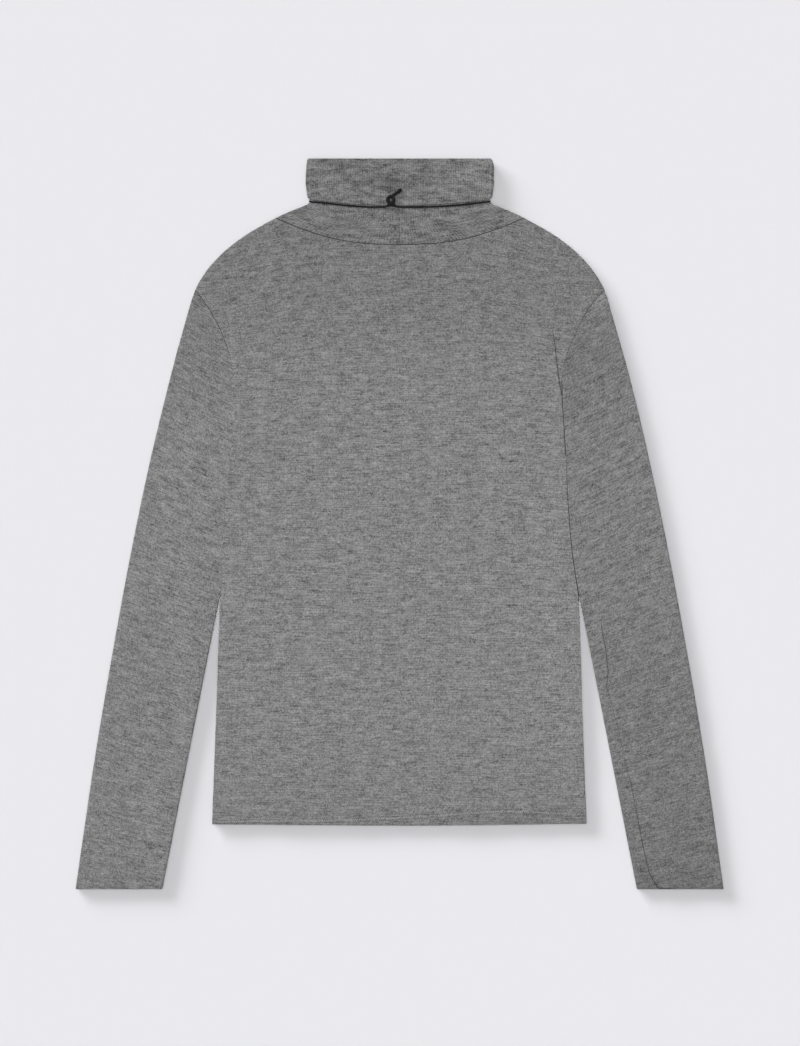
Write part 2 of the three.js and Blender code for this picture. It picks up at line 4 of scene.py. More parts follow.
import bpy
import numpy as np
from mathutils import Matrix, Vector


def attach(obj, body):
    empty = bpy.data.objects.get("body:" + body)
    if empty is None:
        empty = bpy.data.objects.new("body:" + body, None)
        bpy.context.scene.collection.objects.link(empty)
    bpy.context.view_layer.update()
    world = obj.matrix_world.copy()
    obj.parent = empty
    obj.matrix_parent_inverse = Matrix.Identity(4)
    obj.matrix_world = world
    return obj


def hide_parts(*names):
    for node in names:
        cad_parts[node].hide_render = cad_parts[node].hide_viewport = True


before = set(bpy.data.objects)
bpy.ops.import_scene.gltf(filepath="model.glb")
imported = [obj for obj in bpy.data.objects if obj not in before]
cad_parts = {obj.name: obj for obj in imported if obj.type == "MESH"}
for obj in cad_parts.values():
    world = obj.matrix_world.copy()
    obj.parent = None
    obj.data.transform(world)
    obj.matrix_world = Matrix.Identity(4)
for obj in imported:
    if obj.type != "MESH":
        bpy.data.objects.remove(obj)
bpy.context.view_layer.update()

bl_info = {
    "name": "Turtleneck Sweater, Laid Flat",
    "version": (1, 0, 0),
    "blender": (4, 5, 0),
    "location": "3D View > Sidebar > Sweater",
    "description": "Builds a fine jersey turtleneck lying flat with its back up, and a stage for it",
    "category": "Add Mesh",
}

# Lengths in the tables are in millimetres. X runs across the garment, Y from hem to collar, Z up.
MM = 0.001


def table(columns, *rows):
    """A table's rows, each with its values under the columns' names."""
    kind = namedtuple("Row", columns)
    return [kind(*row) for row in rows]


# Columns of tables that are alike: widths left and right of the middle over Y, soft folds with
# their turn from the X axis in degrees, painted shade over Y, and lines of thread
BY_SIDE = "y left right"
FOLD = "x y turn length width rise"
SHADE = "y share"
LINE = "x y width"

# How the cloth lies
LIE_HEIGHT = 3.4
EDGE_PUFF = 0.35
PUFF_REACH = 12
ROLL = 1.8
EDGE_LEVEL = 2.2
PARTED = (-92, -62)

# Landmarks
TIP_Y = 234.5
UNDERARM_Y = 62
NECK_Y = 306
CUFF_Y = -365.4
CUFF_INNER_X = 237.5
INNER_SLOPE = 0.196
FRONT_HEM_LIFT = 1.5

SIDE_GAP_LEFT = 0.02  # between the body's side and the sleeve that lies against it
SIDE_GAP_RIGHT = 0.45
# Half-widths of the outer edge, from the collar's fold to the cuffs
OUTLINE = table(
    BY_SIDE,
    (366, 91.0, 90.6), (358, 91.8, 93.0), (343, 92.6, 93.0), (329, 91.1, 91.4), (324, 90.0, 90.3),
    (320.5, 91.0, 91.2), (317.5, 96.6, 97.6), (311.5, 111.6, 112.2), (306, 124.2, 124.6),
    (288, 155.6, 156.4), (270, 178.3, 178.9), (252, 194.2, 194.7), (234.5, 204.3, 204.8),
    (204, 213.9, 214.1), (144, 230.1, 230.9), (44, 253.9, 254.3), (-76, 277.8, 278.2),
    (-236, 305.3, 305.7), (-365.4, 324.3, 324.3),
)
# Half-widths of the body panels: side seam, underarm, armhole, shoulder tip
PANEL_EDGE = table(
    BY_SIDE,
    (-303, 187.8, 186.9), (-196, 183.8, 182.9), (-76, 179.4, 179.0), (-52, 178.0, 175.8),
    (-28, 177.2, 172.4), (12, 174.9, 169.0), (62, 170.4, 166.6), (104, 165.6, 164.0),
    (128, 164.4, 162.6), (146, 165.2, 162.4), (170, 170.6, 167.4), (194, 179.2, 177.4),
    (214, 190.0, 188.0), (234.5, 204.3, 204.8),
)
NECK_SEAM = table(
    "x back front",
    (0, 279.4, 234), (32, 280.7, 238), (64, 285.2, 252), (96, 294.6, 276), (124.2, 306, 306),
)
HEM = table("x y", (-190, -300.5), (0, -301.8), (190, -299.9))
# Height of the upper of the back hem's two rows of stitches above its edge, and how far apart
# the rows are
HEM_STITCHES = table(
    "x height apart",
    (-188, 3.9, 3.2), (-162, 4.8, 3.4), (-50, 7.6, 3.8), (30, 11.4, 3.8), (105, 15.6, 4.2),
    (165, 12.5, 4.6), (188, 11.0, 4.2),
)

# How high the body's side and the sleeve's inner edge stand where they are pressed together
CONTACT_LEVEL = table(
    BY_SIDE,
    (-86, 2.2, 2.2), (-70, 3.0, 1.7), (-30, 3.35, 1.5), (30, 3.4, 1.6), (54, 3.4, 2.0),
    (62, 3.4, 3.4),
)
# How plainly the armhole seam shows, from hidden to sharp
SEAM_SHOW = table(
    BY_SIDE,
    (62, 0.0, 0.0), (68, 0.0, 0.1), (71, 0.0, 1.15), (128, 0.0, 1.15), (138, 0.0, 1.0),
    (150, 0.0, 0.3), (164, 0.15, 0.3), (176, 0.6, 0.35), (194, 0.9, 0.4), (212, 0.98, 0.7),
    (234.5, 0.98, 0.75),
)
# Lines of dark thread laid on the top, with the width of the thread; they stand in for shadow lines as
# painted shade: a crease beside the right armhole, the right sleeve's own seam where it turns up, the
# cuff's opening, the collar's centre-back seam and a stitch beside it
PINCHED = [
    table(
        LINE,
        (151.6, 199, 0.0), (154.4, 187, 0.34), (156.5, 168, 0.5), (158.4, 152, 0.54),
        (160.4, 138, 0.54), (162.4, 128, 0.48),
    ),
    table(
        LINE,
        (201.0, -98, 0.1), (202.0, -103, 0.34), (206.6, -128, 0.38), (208.4, -146, 0.34),
        (207.0, -164, 0.3), (212.0, -180, 0.16), (219.2, -208, 0.16), (226.0, -238, 0.18),
        (231.8, -261, 0.26), (237.7, -292, 0.36), (242.2, -316, 0.38), (246.3, -334, 0.38),
        (249.5, -348, 0.38), (253.4, -356, 0.42), (259.0, -364.2, 0.5),
    ),
    table(LINE, (259.0, -364.2, 0.5), (267, -364.8, 0.6), (276, -365.0, 0.2)),
    table(LINE, (-0.9, 315.6, 0.2), (-0.6, 281.4, 0.22)),
    table(LINE, (-4.9, 296.0, 0.9), (-3.7, 295.2, 0.9)),
]
# The right side seam's dark thread shows between these heights along Y, in the line beside the sleeve:
# partly seam thread, partly painted shade of the line where body and sleeve are pressed together
SIDE_SEAM = (-77, 57)
SIDE_THREAD = 0.42
SIDE_THREAD_RISE = 0.7
# Radii of the other seam threads where they show in full, and how their stitches lie
ARMHOLE_THREAD = 0.34
NECK_THREAD = 0.44
PINCHED_THREAD = 0.8  # share of a pinched line's width
LEAST_THREAD = 0.03  # stitches of a thinner radius are left out
THREAD_RISE = 0.06  # of their middle above the cloth
SEAM_PITCH = 1.4
LONE_STITCH = 1.1  # a line is at least this many times as long as its stitches
SEAM_REACH = 0.9  # width of the groove round a seam
NECK_REACH = 140  # the neck seam is sunk this far out from the middle

# Hems and cuffs: how far up they are doubled, how that fades, and what it adds to the cloth
FRONT_DOUBLED = 9.0
CUFF_DOUBLED = 8.0
DOUBLED_FADE = 3
DOUBLED_EXTRA = 0.5
FRONT_ROW_HEIGHT = 10.0
FRONT_ROWS_APART = 3.6
HEM_ROWS_REACH = 184
CUFF_ROW_HEIGHTS = (10.9, 7.4)
CUFF_ROWS_INSET = 4
UNDERSIDE_THREAD = 0.26  # centre of a hem's thread above the table, under the lowest layer
# A stitch: the radius of its thread, and the share of the pitch that it takes
Stitch = namedtuple("Stitch", "radius share")
HEM_STITCH = Stitch(0.25, 0.6)
# Needle rows are drawn in the dark thread: painted shade of the pinholes between the hem's stitches
NEEDLE_STITCH = Stitch(0.2, 0.4)
CUFF_STITCH = Stitch(0.13, 0.5)
SEAM_SHARE = 0.9
# Its sections from end to end: place from the middle as a share of its length, size as a share of
# the radius, and height in radii
STITCH_SECTIONS = table(
    "place size height",
    (-0.5, 0.45, -0.6), (-0.25, 1, 0.35), (0.25, 1, 0.35), (0.5, 0.45, -0.6),
)
STITCH_SIDES = 6

# Soft folds of the body and the sleeves
FOLDS = table(
    FOLD,
    (-112, 262, -32, 100, 13, 0.7), (-88, 240, -40, 90, 12, -0.5), (84, 262, 24, 90, 12, 0.6),
    (-128, 150, -58, 130, 14, 0.6), (134, 165, 66, 120, 12, 0.7), (-124, 68, 10, 50, 14, -0.7),
    (158, -90, 87, 230, 13, 0.8), (112, -90, 90, 150, 11, -0.5), (-20, -60, 4, 220, 22, 0.5),
    (-96, -250, 82, 120, 20, 0.6), (58, -262, 97, 100, 18, 0.7), (-222, 40, 62, 120, 12, 0.6),
    (-252, -170, 76, 150, 11, -0.5), (226, 30, -58, 130, 12, 0.6), (262, -190, -80, 170, 11, -0.6),
)
# The cloth is never quite even: long, low waves of unlike length and direction
WAVES = table(
    "length turn phase rise",
    (61, 12, 0.4, 0.10), (43, 74, 2.1, 0.09), (33, -38, 4.0, 0.07), (24, 55, 1.2, 0.05),
    (19, -12, 5.3, 0.04),
)

# Collar
COLLAR_TOP = 4.2
COLLAR_UNDER = 1.9
COLLAR_RISE_TOP = (292, 316)
COLLAR_RISE_UNDER = (296, 310)
COLLAR_LEVEL = 3.05
COLLAR_LEVEL_RISE = (296, 314)
COLLAR_ROLL = 2.5
COLLAR_ROLL_CLIMB = 0.3
FOLD_Y = 364.3
FOLD_RADIUS = 0.7
TURN_DOWN_PRESS = 0.1
TURN_DOWN_DROP = 0.5
TURN_DOWN_SIDE_Y = 327
NECK_FADE = 0.12  # share of the tube's height over which the neck's curve fades
# Small gathers below the cord, as sin(turn x + sway sin(slow x)), faded in and out along Y
GATHER_RISE = 0.16
GATHER_TURN = 0.9
GATHER_SWAY = 1.2
GATHER_SLOW = 0.11
GATHERS_FROM = (296, 318)
GATHERS_TO = (318, 326)
# The collar's centre-back seam: its place, and its groove's depth and width
BACK_SEAM_X = -1
BACK_SEAM_DEPTH = 0.35
BACK_SEAM_REACH = 0.8
TurnDown = namedtuple("TurnDown", "middle corner")
TURN_DOWN_BACK = TurnDown(318.3, 324.3)
TURN_DOWN_FRONT = TurnDown(329.5, 329.5)
# Creases of the turn-down only
COLLAR_FOLDS = table(
    FOLD,
    (-46, 359, -8, 60, 5, -0.35), (-60, 350, -6, 50, 6, 0.3), (-10, 341, 3, 50, 5, -0.3),
    (-88, 342, 0, 14, 2.2, -0.5), (70, 346, 80, 34, 9, 0.3), (84, 326.5, 6, 22, 1.6, -0.5),
)

# The cord's route round the collar, clockwise from the knot, and the knot
CORD_ROUTE = [
    (-10.3, 318.7, 7.2), (-13, 317.2, 6.7), (-17, 316.9, 5.7), (-24, 316.9, 5.4),
    (-36, 317.2, 5.4), (-50, 318.2, 5.4), (-66, 319.8, 5.4), (-80, 321.4, 5.4), (-88, 322.1, 5.4),
    (-89.3, 322.4, 4.6), (-90, 322.8, 3.1), (-89.4, 323.2, 1.8), (-88, 323.8, 1), (-80, 324.9, 1),
    (-56, 325.6, 1), (-28, 324.9, 1), (0, 324.7, 1), (28, 324.9, 1), (56, 325.6, 1),
    (80, 324.9, 1), (88, 323.8, 1), (89.7, 323.2, 1.8), (90.3, 322.8, 3.1), (89.6, 322.4, 4.6),
    (88, 322.2, 5.4), (80, 321.2, 5.4), (66, 319.6, 5.4), (48, 318, 5.4), (30, 317.1, 5.4),
    (10, 316.9, 5.4), (0, 317, 5.8), (-3.6, 317.5, 6.8), (-6.2, 319, 7.2),
]
# The loop of the knot, from the left strand round and out into the tail
KNOT_ROUTE = [
    (-11.2, 318.4, 7.3), (-9, 319.6, 7.7), (-6.6, 321.3, 8.1), (-5.8, 323.9, 8.2),
    (-6.7, 326.4, 8.1), (-9, 327.2, 8), (-11.2, 326, 7.9), (-11.9, 323.4, 7.8), (-10.6, 321, 7.7),
    (-8.2, 319.8, 7.6), (-5.6, 318.6, 7.3),
]
TAIL_ROUTE = [
    (-7.6, 327, 8.1), (-6, 328.6, 8.3), (-4.3, 329.2, 8.3), (-2.9, 330.9, 8.2), (-1.2, 331.6, 8),
]
TAIL_END = (0.4, 333.5, 7.8)
CORD_STEP = 1.2
CORD_SIDES = 12
KNOT_SIDES = 14
# The tied strands, pressed wider than the cord: radius, and step along the route
Tied = namedtuple("Tied", "radius step")
KNOT = Tied(1.65, 0.5)
TAIL = Tied(1.5, 0.6)
TAIL_TIP = Tied(1.75, 0.4)
DOME = np.radians([80, 55, 28])  # rings of a strand's rounded end

# Painted shade: how much darker the cloth is drawn at heights along Y, as a share of its lightest part.
# It stands in for the light's fall-off from the upper left: darker towards the yoke, the collar,
# the hem and the cuffs, and the right sleeve darker all along
BODY_PAINTED_SHADE = table(
    SHADE,
    (-300, 0.93), (-150, 1.0), (100, 0.985), (160, 0.96), (215, 0.875), (306, 0.84),
)
LEFT_PAINTED_SHADE = table(
    SHADE,
    (-366, 0.9), (-300, 0.95), (-150, 0.955), (-40, 0.985), (80, 0.99), (170, 0.89), (240, 0.86),
)
RIGHT_PAINTED_SHADE = table(
    SHADE,
    (-366, 0.72), (-300, 0.8), (-150, 0.84), (-40, 0.9), (80, 0.9), (170, 0.81), (240, 0.94),
)
COLLAR_PAINTED_SHADE = table(SHADE, (280, 0.81), (318, 0.8), (366, 0.76))
# Patches of painted shade and painted light, laid out like the folds: darker under the collar, on the
# turn-down's middle and creases, beside the armholes, at the right cuff and along the back hem's
# lower edge on the right; lighter at the turn-down's right end and a little along the right side
PAINTED_LIGHT_AND_SHADE = table(
    FOLD,
    (-70, 288, 8, 60, 8, -0.09), (50, 291, -8, 60, 8, -0.03), (-66, 361, 0, 24, 5, -0.07),
    (-44, 359, -7, 70, 3.5, -0.06), (-9, 341, 2, 60, 6, -0.23), (78, 347, 0, 46, 15, 0.16),
    (-80, 340, 0, 40, 14, 0.02), (157, -91, 90, 220, 16, 0.03), (-125, 69, 0, 26, 10, -0.05),
    (176, 134, -84, 150, 12, -0.06), (255, -361, 0, 24, 7, -0.07), (290, -311, 60, 30, 10, -0.05),
    (140, -293, 1, 150, 4, -0.17),
)

# How far the body's knitted rows sink towards the shoulders' outer ends, and where that grows
ROW_DROOP = 18
DROOP_ACROSS = (60, 200)
DROOP_UP = (40, 250)
# Lean of the sleeves in degrees, at the cuff and at the shoulder tip
SLEEVE_LEAN = (10, 27)

# How finely the cloth is divided
ROLL_STEPS = 6
ARMHOLE_STEPS = 46
NECK_STEPS = 70
SHOULDER_STEPS = 26
SIDE_STEPS = 92
SLEEVE_STATIONS = 116
TUBE_STEPS = 26
FOLD_STEPS = 12
TURN_DOWN_STEPS = 16
RIM_ROWS = np.array([0.0, 0.06, 0.22, 0.5])
CURVE_POINTS = 1500
SPLINE_STEPS = 12

# How a sleeve's rings change from the armhole's curve to straight across at the cuff: powers of
# what is left of the sleeve, and the share of it where its rounded ends turn square
SHOULDER_EASE = 2.5
CAP_EASE = 5
SQUARE_FROM = 0.8

SHARP_ANGLE = 65  # degrees between faces that are drawn with an edge
TINY = 1e-9  # keeps a sum of shares above nothing

# The yarn's tone: shares of its layers, and half the range that goes from dark to light
STREAKS = 0.28
LOOPS = 0.23
SLUBS = 0.2
TONE_REACH = 0.166
WAVE_PERIOD = math.pi / 10  # of Blender's wave texture at scale 1

# The photograph's frame at the table, and the lens that looks straight down on it
FRAME_HEIGHT = 1.0476
FRAME_CENTRE = (0.0004, 0.001)
LENS = 100.0
SENSOR = 36.0
CLIP_END = 50
PAPER_HALF = 30.0
PAPER_LEVEL = -0.0002
PAPER_CORNERS = ((-1, -1), (1, -1), (1, 1), (-1, 1))
SKY_STRENGTH = 0.35
# The way the light goes in plan, down from the upper left, in degrees from the X axis
LIGHT_WAY = -45
# Distant soft lamps: degrees above the table, degrees across, and degrees turned from that way
LAMPS = table(
    "name energy elevation width turn",
    ("overhead softbox", 1.1, 88, 45, 0), ("raking softbox", 2.13, 8.4, 10, -13),
    ("raking softbox", 2.13, 8.4, 10, 0), ("raking softbox", 2.13, 8.4, 10, 13),
    ("key softbox", 1.64, 35, 30, 0),
)


def linear_from_hex(text):
    """Linear colour of an sRGB hex value: the standard curve, channel by channel."""
    channels = [int(text[i : i + 2], 16) / 255 for i in (1, 3, 5)]
    return tuple(c / 12.92 if c <= 0.04045 else ((c + 0.055) / 1.055) ** 2.4 for c in channels)


def lerp(a, b, t):
    """Between a and b in proportion t."""
    return a + (b - a) * t


def smooth(value, low, high):
    """Rises from 0 at low to 1 at high along 3t^2 - 2t^3."""
    t = np.clip((value - low) / (high - low), 0, 1)
    return t * t * (3 - 2 * t)


def along(table, key, column, at):
    """Value of a table's column at places between its rows: a cubic through the rows whose slope at
    a row is the harmonic mean of the slopes beside it, so it never overshoots; straight beyond."""
    rows = sorted(table, key=lambda row: getattr(row, key))
    x = np.array([getattr(row, key) for row in rows], float)
    y = np.array([getattr(row, column) for row in rows], float)
    slope = np.diff(y) / np.diff(x)
    tangent = np.concatenate([slope[:1], np.zeros(len(x) - 2), slope[-1:]])
    same = slope[:-1] * slope[1:] > 0
    total = np.where(same, slope[:-1] + slope[1:], 1)
    tangent[1:-1] = np.where(same, 2 * slope[:-1] * slope[1:] / total, 0)
    at = np.asarray(at, float)
    i = np.clip(np.searchsorted(x, at) - 1, 0, len(x) - 2)
    span = x[i + 1] - x[i]
    t = (at - x[i]) / span
    bend = t * (1 - t) ** 2 * tangent[i] - t * t * (1 - t) * tangent[i + 1]
    inside = lerp(y[i], y[i + 1], t * t * (3 - 2 * t)) + span * bend
    below = y[0] + (at - x[0]) * tangent[0]
    above = y[-1] + (at - x[-1]) * tangent[-1]
    return np.where(at < x[0], below, np.where(at > x[-1], above, inside))


def by_side(table, y, side):
    """Half-width of a table at y, on the left where side is negative."""
    left, right = (along(table, "y", name, y) for name in ("left", "right"))
    return np.where(np.asarray(side) < 0, left, right)


def outline_at(y, side):
    """Half-width of the whole garment's outer edge."""
    return by_side(OUTLINE, y, side)


def panel_edge_at(y, side):
    """Half-width of the body panels."""
    return by_side(PANEL_EDGE, y, side)


def inner_edge_at(y, side):
    """Half-width to a sleeve's inner edge: against the body, then on its own straight line."""
    line = CUFF_INNER_X - INNER_SLOPE * (y - CUFF_Y)
    gap = np.where(np.asarray(side) < 0, SIDE_GAP_LEFT, SIDE_GAP_RIGHT)
    return np.maximum(panel_edge_at(y, side) + gap, line)


def neck_seam_at(x, layer):
    """Y of a neck seam."""
    return along(NECK_SEAM, "x", layer, np.abs(x))


def hem_at(x):
    """Y of the back hem."""
    return along(HEM, "x", "y", x)


def slant(edge_at, y, side):
    """How far an edge given as half-widths over y moves out for each millimetre along."""
    return edge_at(y + 0.5, side) - edge_at(y - 0.5, side)


def square_distance(edge_at, x, y, side):
    """Plan distance to an edge given as half-widths over y: across it, over its slant."""
    return np.abs(edge_at(y, side) - side * x) / np.hypot(1, slant(edge_at, y, side))


def outward_at(edge_at, y, side):
    """Plan direction out of the garment, square to an edge given as half-widths over y."""
    tilt = slant(edge_at, y, side)
    length = np.hypot(1, tilt)
    return np.stack([side / length, -tilt / length], -1)


def folds_at(table, x, y):
    """Sum of the soft folds: each a ridge or trough of bell section that fades towards its ends."""
    rise = np.zeros(np.broadcast(x, y).shape)
    for fold in table:
        turn = math.radians(fold.turn)
        lengthwise = (x - fold.x) * math.cos(turn) + (y - fold.y) * math.sin(turn)
        crosswise = (y - fold.y) * math.cos(turn) - (x - fold.x) * math.sin(turn)
        reach = 2 * lengthwise / fold.length
        rise += fold.rise * np.exp(-(reach**2) - (crosswise / fold.width) ** 2)
    return rise


def waves_at(x, y):
    """Sum of the long, low waves, each a sine across its own direction."""
    rise = np.zeros(np.broadcast(x, y).shape)
    for wave in WAVES:
        turn = math.radians(wave.turn)
        place = x * math.cos(turn) + y * math.sin(turn)
        rise += wave.rise * np.sin(2 * math.pi * place / wave.length + wave.phase)
    return rise


def groove(distance, depth, width):
    """Bell-shaped groove round a seam: deepest on the line, gone two widths away."""
    return -depth * np.exp(-((distance / width) ** 2))


def top_at(x, y):
    """Upper face of the upper layer: its lie, fuller beside folded edges, the hem and the cuffs,
    with folds, waves and the grooves of the seams; it rises to the collar's tube."""
    side = np.where(x < 0, -1, 1)
    outer = square_distance(outline_at, x, y, side)
    on_sleeve = side * x > panel_edge_at(y, side)
    to_panel = square_distance(panel_edge_at, x, y, side)
    to_inner = square_distance(inner_edge_at, x, y, side)
    corner = np.hypot(side * x - panel_edge_at(UNDERARM_Y, side), y - UNDERARM_Y)
    inner = np.where(on_sleeve, to_inner, to_panel)
    outer_puff, inner_puff = (np.exp(-((edge / PUFF_REACH) ** 2)) for edge in (outer, inner))
    puff = EDGE_PUFF * np.maximum(outer_puff, inner_puff * (1 - smooth(y, *PARTED)))
    depth = sizes().seam_depth / MM
    armhole = np.where(y > UNDERARM_Y, to_panel, corner)
    seam = by_side(SEAM_SHOW, y, side) * groove(armhole, depth, SEAM_REACH)
    neck = y - neck_seam_at(x, "back")
    seam = seam + np.where(np.abs(x) < NECK_REACH, groove(neck, depth, SEAM_REACH), 0)
    laid = LIE_HEIGHT + puff + folds_at(FOLDS, x, y) + waves_at(x, y) + seam
    return lerp(laid, COLLAR_TOP, smooth(y, *COLLAR_RISE_TOP))


def under_at(y):
    """Lower face of the lower layer: on the table, and under the collar a layer above it."""
    return COLLAR_UNDER * smooth(y, *COLLAR_RISE_UNDER)


def edge_level_at(y):
    """Height of the outer edge line."""
    return lerp(EDGE_LEVEL, COLLAR_LEVEL, smooth(y, *COLLAR_LEVEL_RISE))


def contact_level_at(y, side):
    """Height of the edge line where sleeve and body are pressed together, and below it."""
    pressed = by_side(CONTACT_LEVEL, np.minimum(y, UNDERARM_Y), side)
    return np.where(y < CONTACT_LEVEL[0].y, EDGE_LEVEL, pressed)


def roll_in(step, reach=ROLL):
    """How far in from a rounded edge a step is: a quarter circle, then on."""
    return reach * (1 - np.cos(np.pi / 2 * np.minimum(step / ROLL_STEPS, 1)))


def roll_full(step):
    """Share of the full height reached at a step of a rounded edge."""
    return np.sin(np.pi / 2 * np.clip(step / ROLL_STEPS, 0, 1))


def run_along(path):
    """Length along a path of points at each of them."""
    return np.concatenate([[0], np.cumsum(np.linalg.norm(np.diff(path, axis=0), axis=1))])


def points_at(path, place):
    """Points of a path at lengths along it."""
    run = run_along(path)
    return np.stack([np.interp(place, run, column) for column in path.T], -1)


def seam_points(point_at, low, high, steps):
    """Points along a plan curve, close together within the rounding at its two ends."""
    curve = np.stack(point_at(np.linspace(low, high, CURVE_POINTS)), -1)
    length = run_along(curve)[-1]
    i = np.arange(steps + 2 * ROLL_STEPS + 1)
    from_end = i[::-1]
    place = lerp(ROLL, length - ROLL, (i - ROLL_STEPS) / steps)
    place = np.where(i < ROLL_STEPS, roll_in(i), place)
    place = np.where(from_end < ROLL_STEPS, length - roll_in(from_end), place)
    return points_at(curve, place)


def shifted(points, distance):
    """A row of plan points moved square to itself, to the left of its direction."""
    run = np.gradient(points, axis=0)
    run /= np.linalg.norm(run, axis=1, keepdims=True)
    return points + distance * np.stack([-run[:, 1], run[:, 0]], -1)


def armhole_row(side):
    """The armhole from the shoulder tip to the underarm."""
    return seam_points(lambda y: (side * panel_edge_at(y, side), y), TIP_Y, UNDERARM_Y, ARMHOLE_STEPS)


def armhole_gap(row, side):
    """Half the gap of the armhole seam along its row, none where the seam doesn't show."""
    return sizes().seam_gap / MM / 2 * by_side(SEAM_SHOW, row[:, 1], side)[:, None]


def neck_row(layer):
    """A neck seam from left to right."""
    left, right = (float(outline_at(NECK_Y, side)) for side in (-1, 1))
    return seam_points(lambda x: (x, neck_seam_at(x, layer)), -left, right, NECK_STEPS)


def half_round(distance, thickness):
    """How much of half a wall's thickness is left at a distance in from a rounded rim."""
    reach = np.clip(distance / (thickness / 2), 0, 1)
    return np.sqrt(1 - (1 - reach) ** 2)


def numbered(rows, columns):
    """Vertex numbers of rings of points, each ring with its first number again at its end."""
    index = np.arange(rows * columns).reshape(rows, columns)
    return np.concatenate([index, index[:, :1]], axis=1)


def wall(name, outer, inner, uv, ring, painted_shading):
    """A closed wall of cloth between two grids of points, rows by columns; ring closes the columns.
    The two grids share one numbering, and strips of faces join their open borders. Its last argument
    is the table of the cloth's painted shade along Y; with the patches of painted light and shade it
    becomes the attribute shade, which darkens or lightens the yarn's colour."""
    rows, columns = outer.shape[:2]
    count = rows * columns
    index = numbered(rows, columns) if ring else np.arange(count).reshape(rows, columns)

    def strip(first, second):
        """Quads between two rows of vertex numbers."""
        return np.stack([first[:-1], first[1:], second[1:], second[:-1]], -1)

    sheet = np.concatenate([strip(index[i], index[i + 1]) for i in range(rows - 1)])
    faces = [sheet, sheet[:, ::-1] + count]
    faces.append(strip(index[0], index[0] + count)[:, ::-1])
    faces.append(strip(index[-1], index[-1] + count))
    if not ring:
        faces.append(strip(index[:, 0], index[:, 0] + count))
        faces.append(strip(index[:, -1], index[:, -1] + count)[:, ::-1])
    points = np.concatenate([outer.reshape(-1, 3), inner.reshape(-1, 3)])
    grid_uv = np.concatenate([uv.reshape(-1, 2), uv.reshape(-1, 2)])
    piece = surface(name, points, np.concatenate(faces), grid_uv)
    # Painted shade and light: the tone along Y and the patches, laid into the cloth's colour
    shade = along(painted_shading, "y", "share", points[:, 1]) + folds_at(PAINTED_LIGHT_AND_SHADE, points[:, 0], points[:, 1])
    made = piece.data.attributes.new("shade", "FLOAT", "POINT")
    made.data.foreach_set("value", shade.astype(np.float32))
    return piece


def surface(name, points, faces, uv):
    """A smooth mesh from points in millimetres, quads or triangles of their numbers, and a UV pair
    for each point, in metres of cloth. It is turned as a whole so that its faces point outwards."""
    corners = points[faces]
    across = np.cross(corners[:, 1] - corners[:, 0], corners[:, 2] - corners[:, 0])
    if faces.shape[1] == 4:
        across = across + np.cross(corners[:, 2] - corners[:, 0], corners[:, 3] - corners[:, 0])
    if (corners.mean(axis=1) * across).sum() < 0:
        faces = faces[:, ::-1]
    mesh = bpy.data.meshes.new(name)
    mesh.vertices.add(len(points))
    mesh.vertices.foreach_set("co", np.ascontiguousarray(points * MM, np.float32).ravel())
    size = faces.shape[1]
    mesh.loops.add(faces.size)
    mesh.loops.foreach_set("vertex_index", np.ascontiguousarray(faces, np.int32).ravel())
    mesh.polygons.add(len(faces))
    mesh.polygons.foreach_set("loop_start", np.arange(0, faces.size, size, dtype=np.int32))
    mesh.update(calc_edges=True)
    mesh.polygons.foreach_set("use_smooth", np.ones(len(faces), bool))
    mesh.set_sharp_from_angle(angle=math.radians(SHARP_ANGLE))
    layer = mesh.uv_layers.new(name="knit")
    layer.data.foreach_set("uv", np.ascontiguousarray(uv[faces.ravel()], np.float32).ravel())
    mesh.validate()
    piece = bpy.data.objects.new(name, mesh)
    bpy.context.scene.collection.objects.link(piece)
    return piece


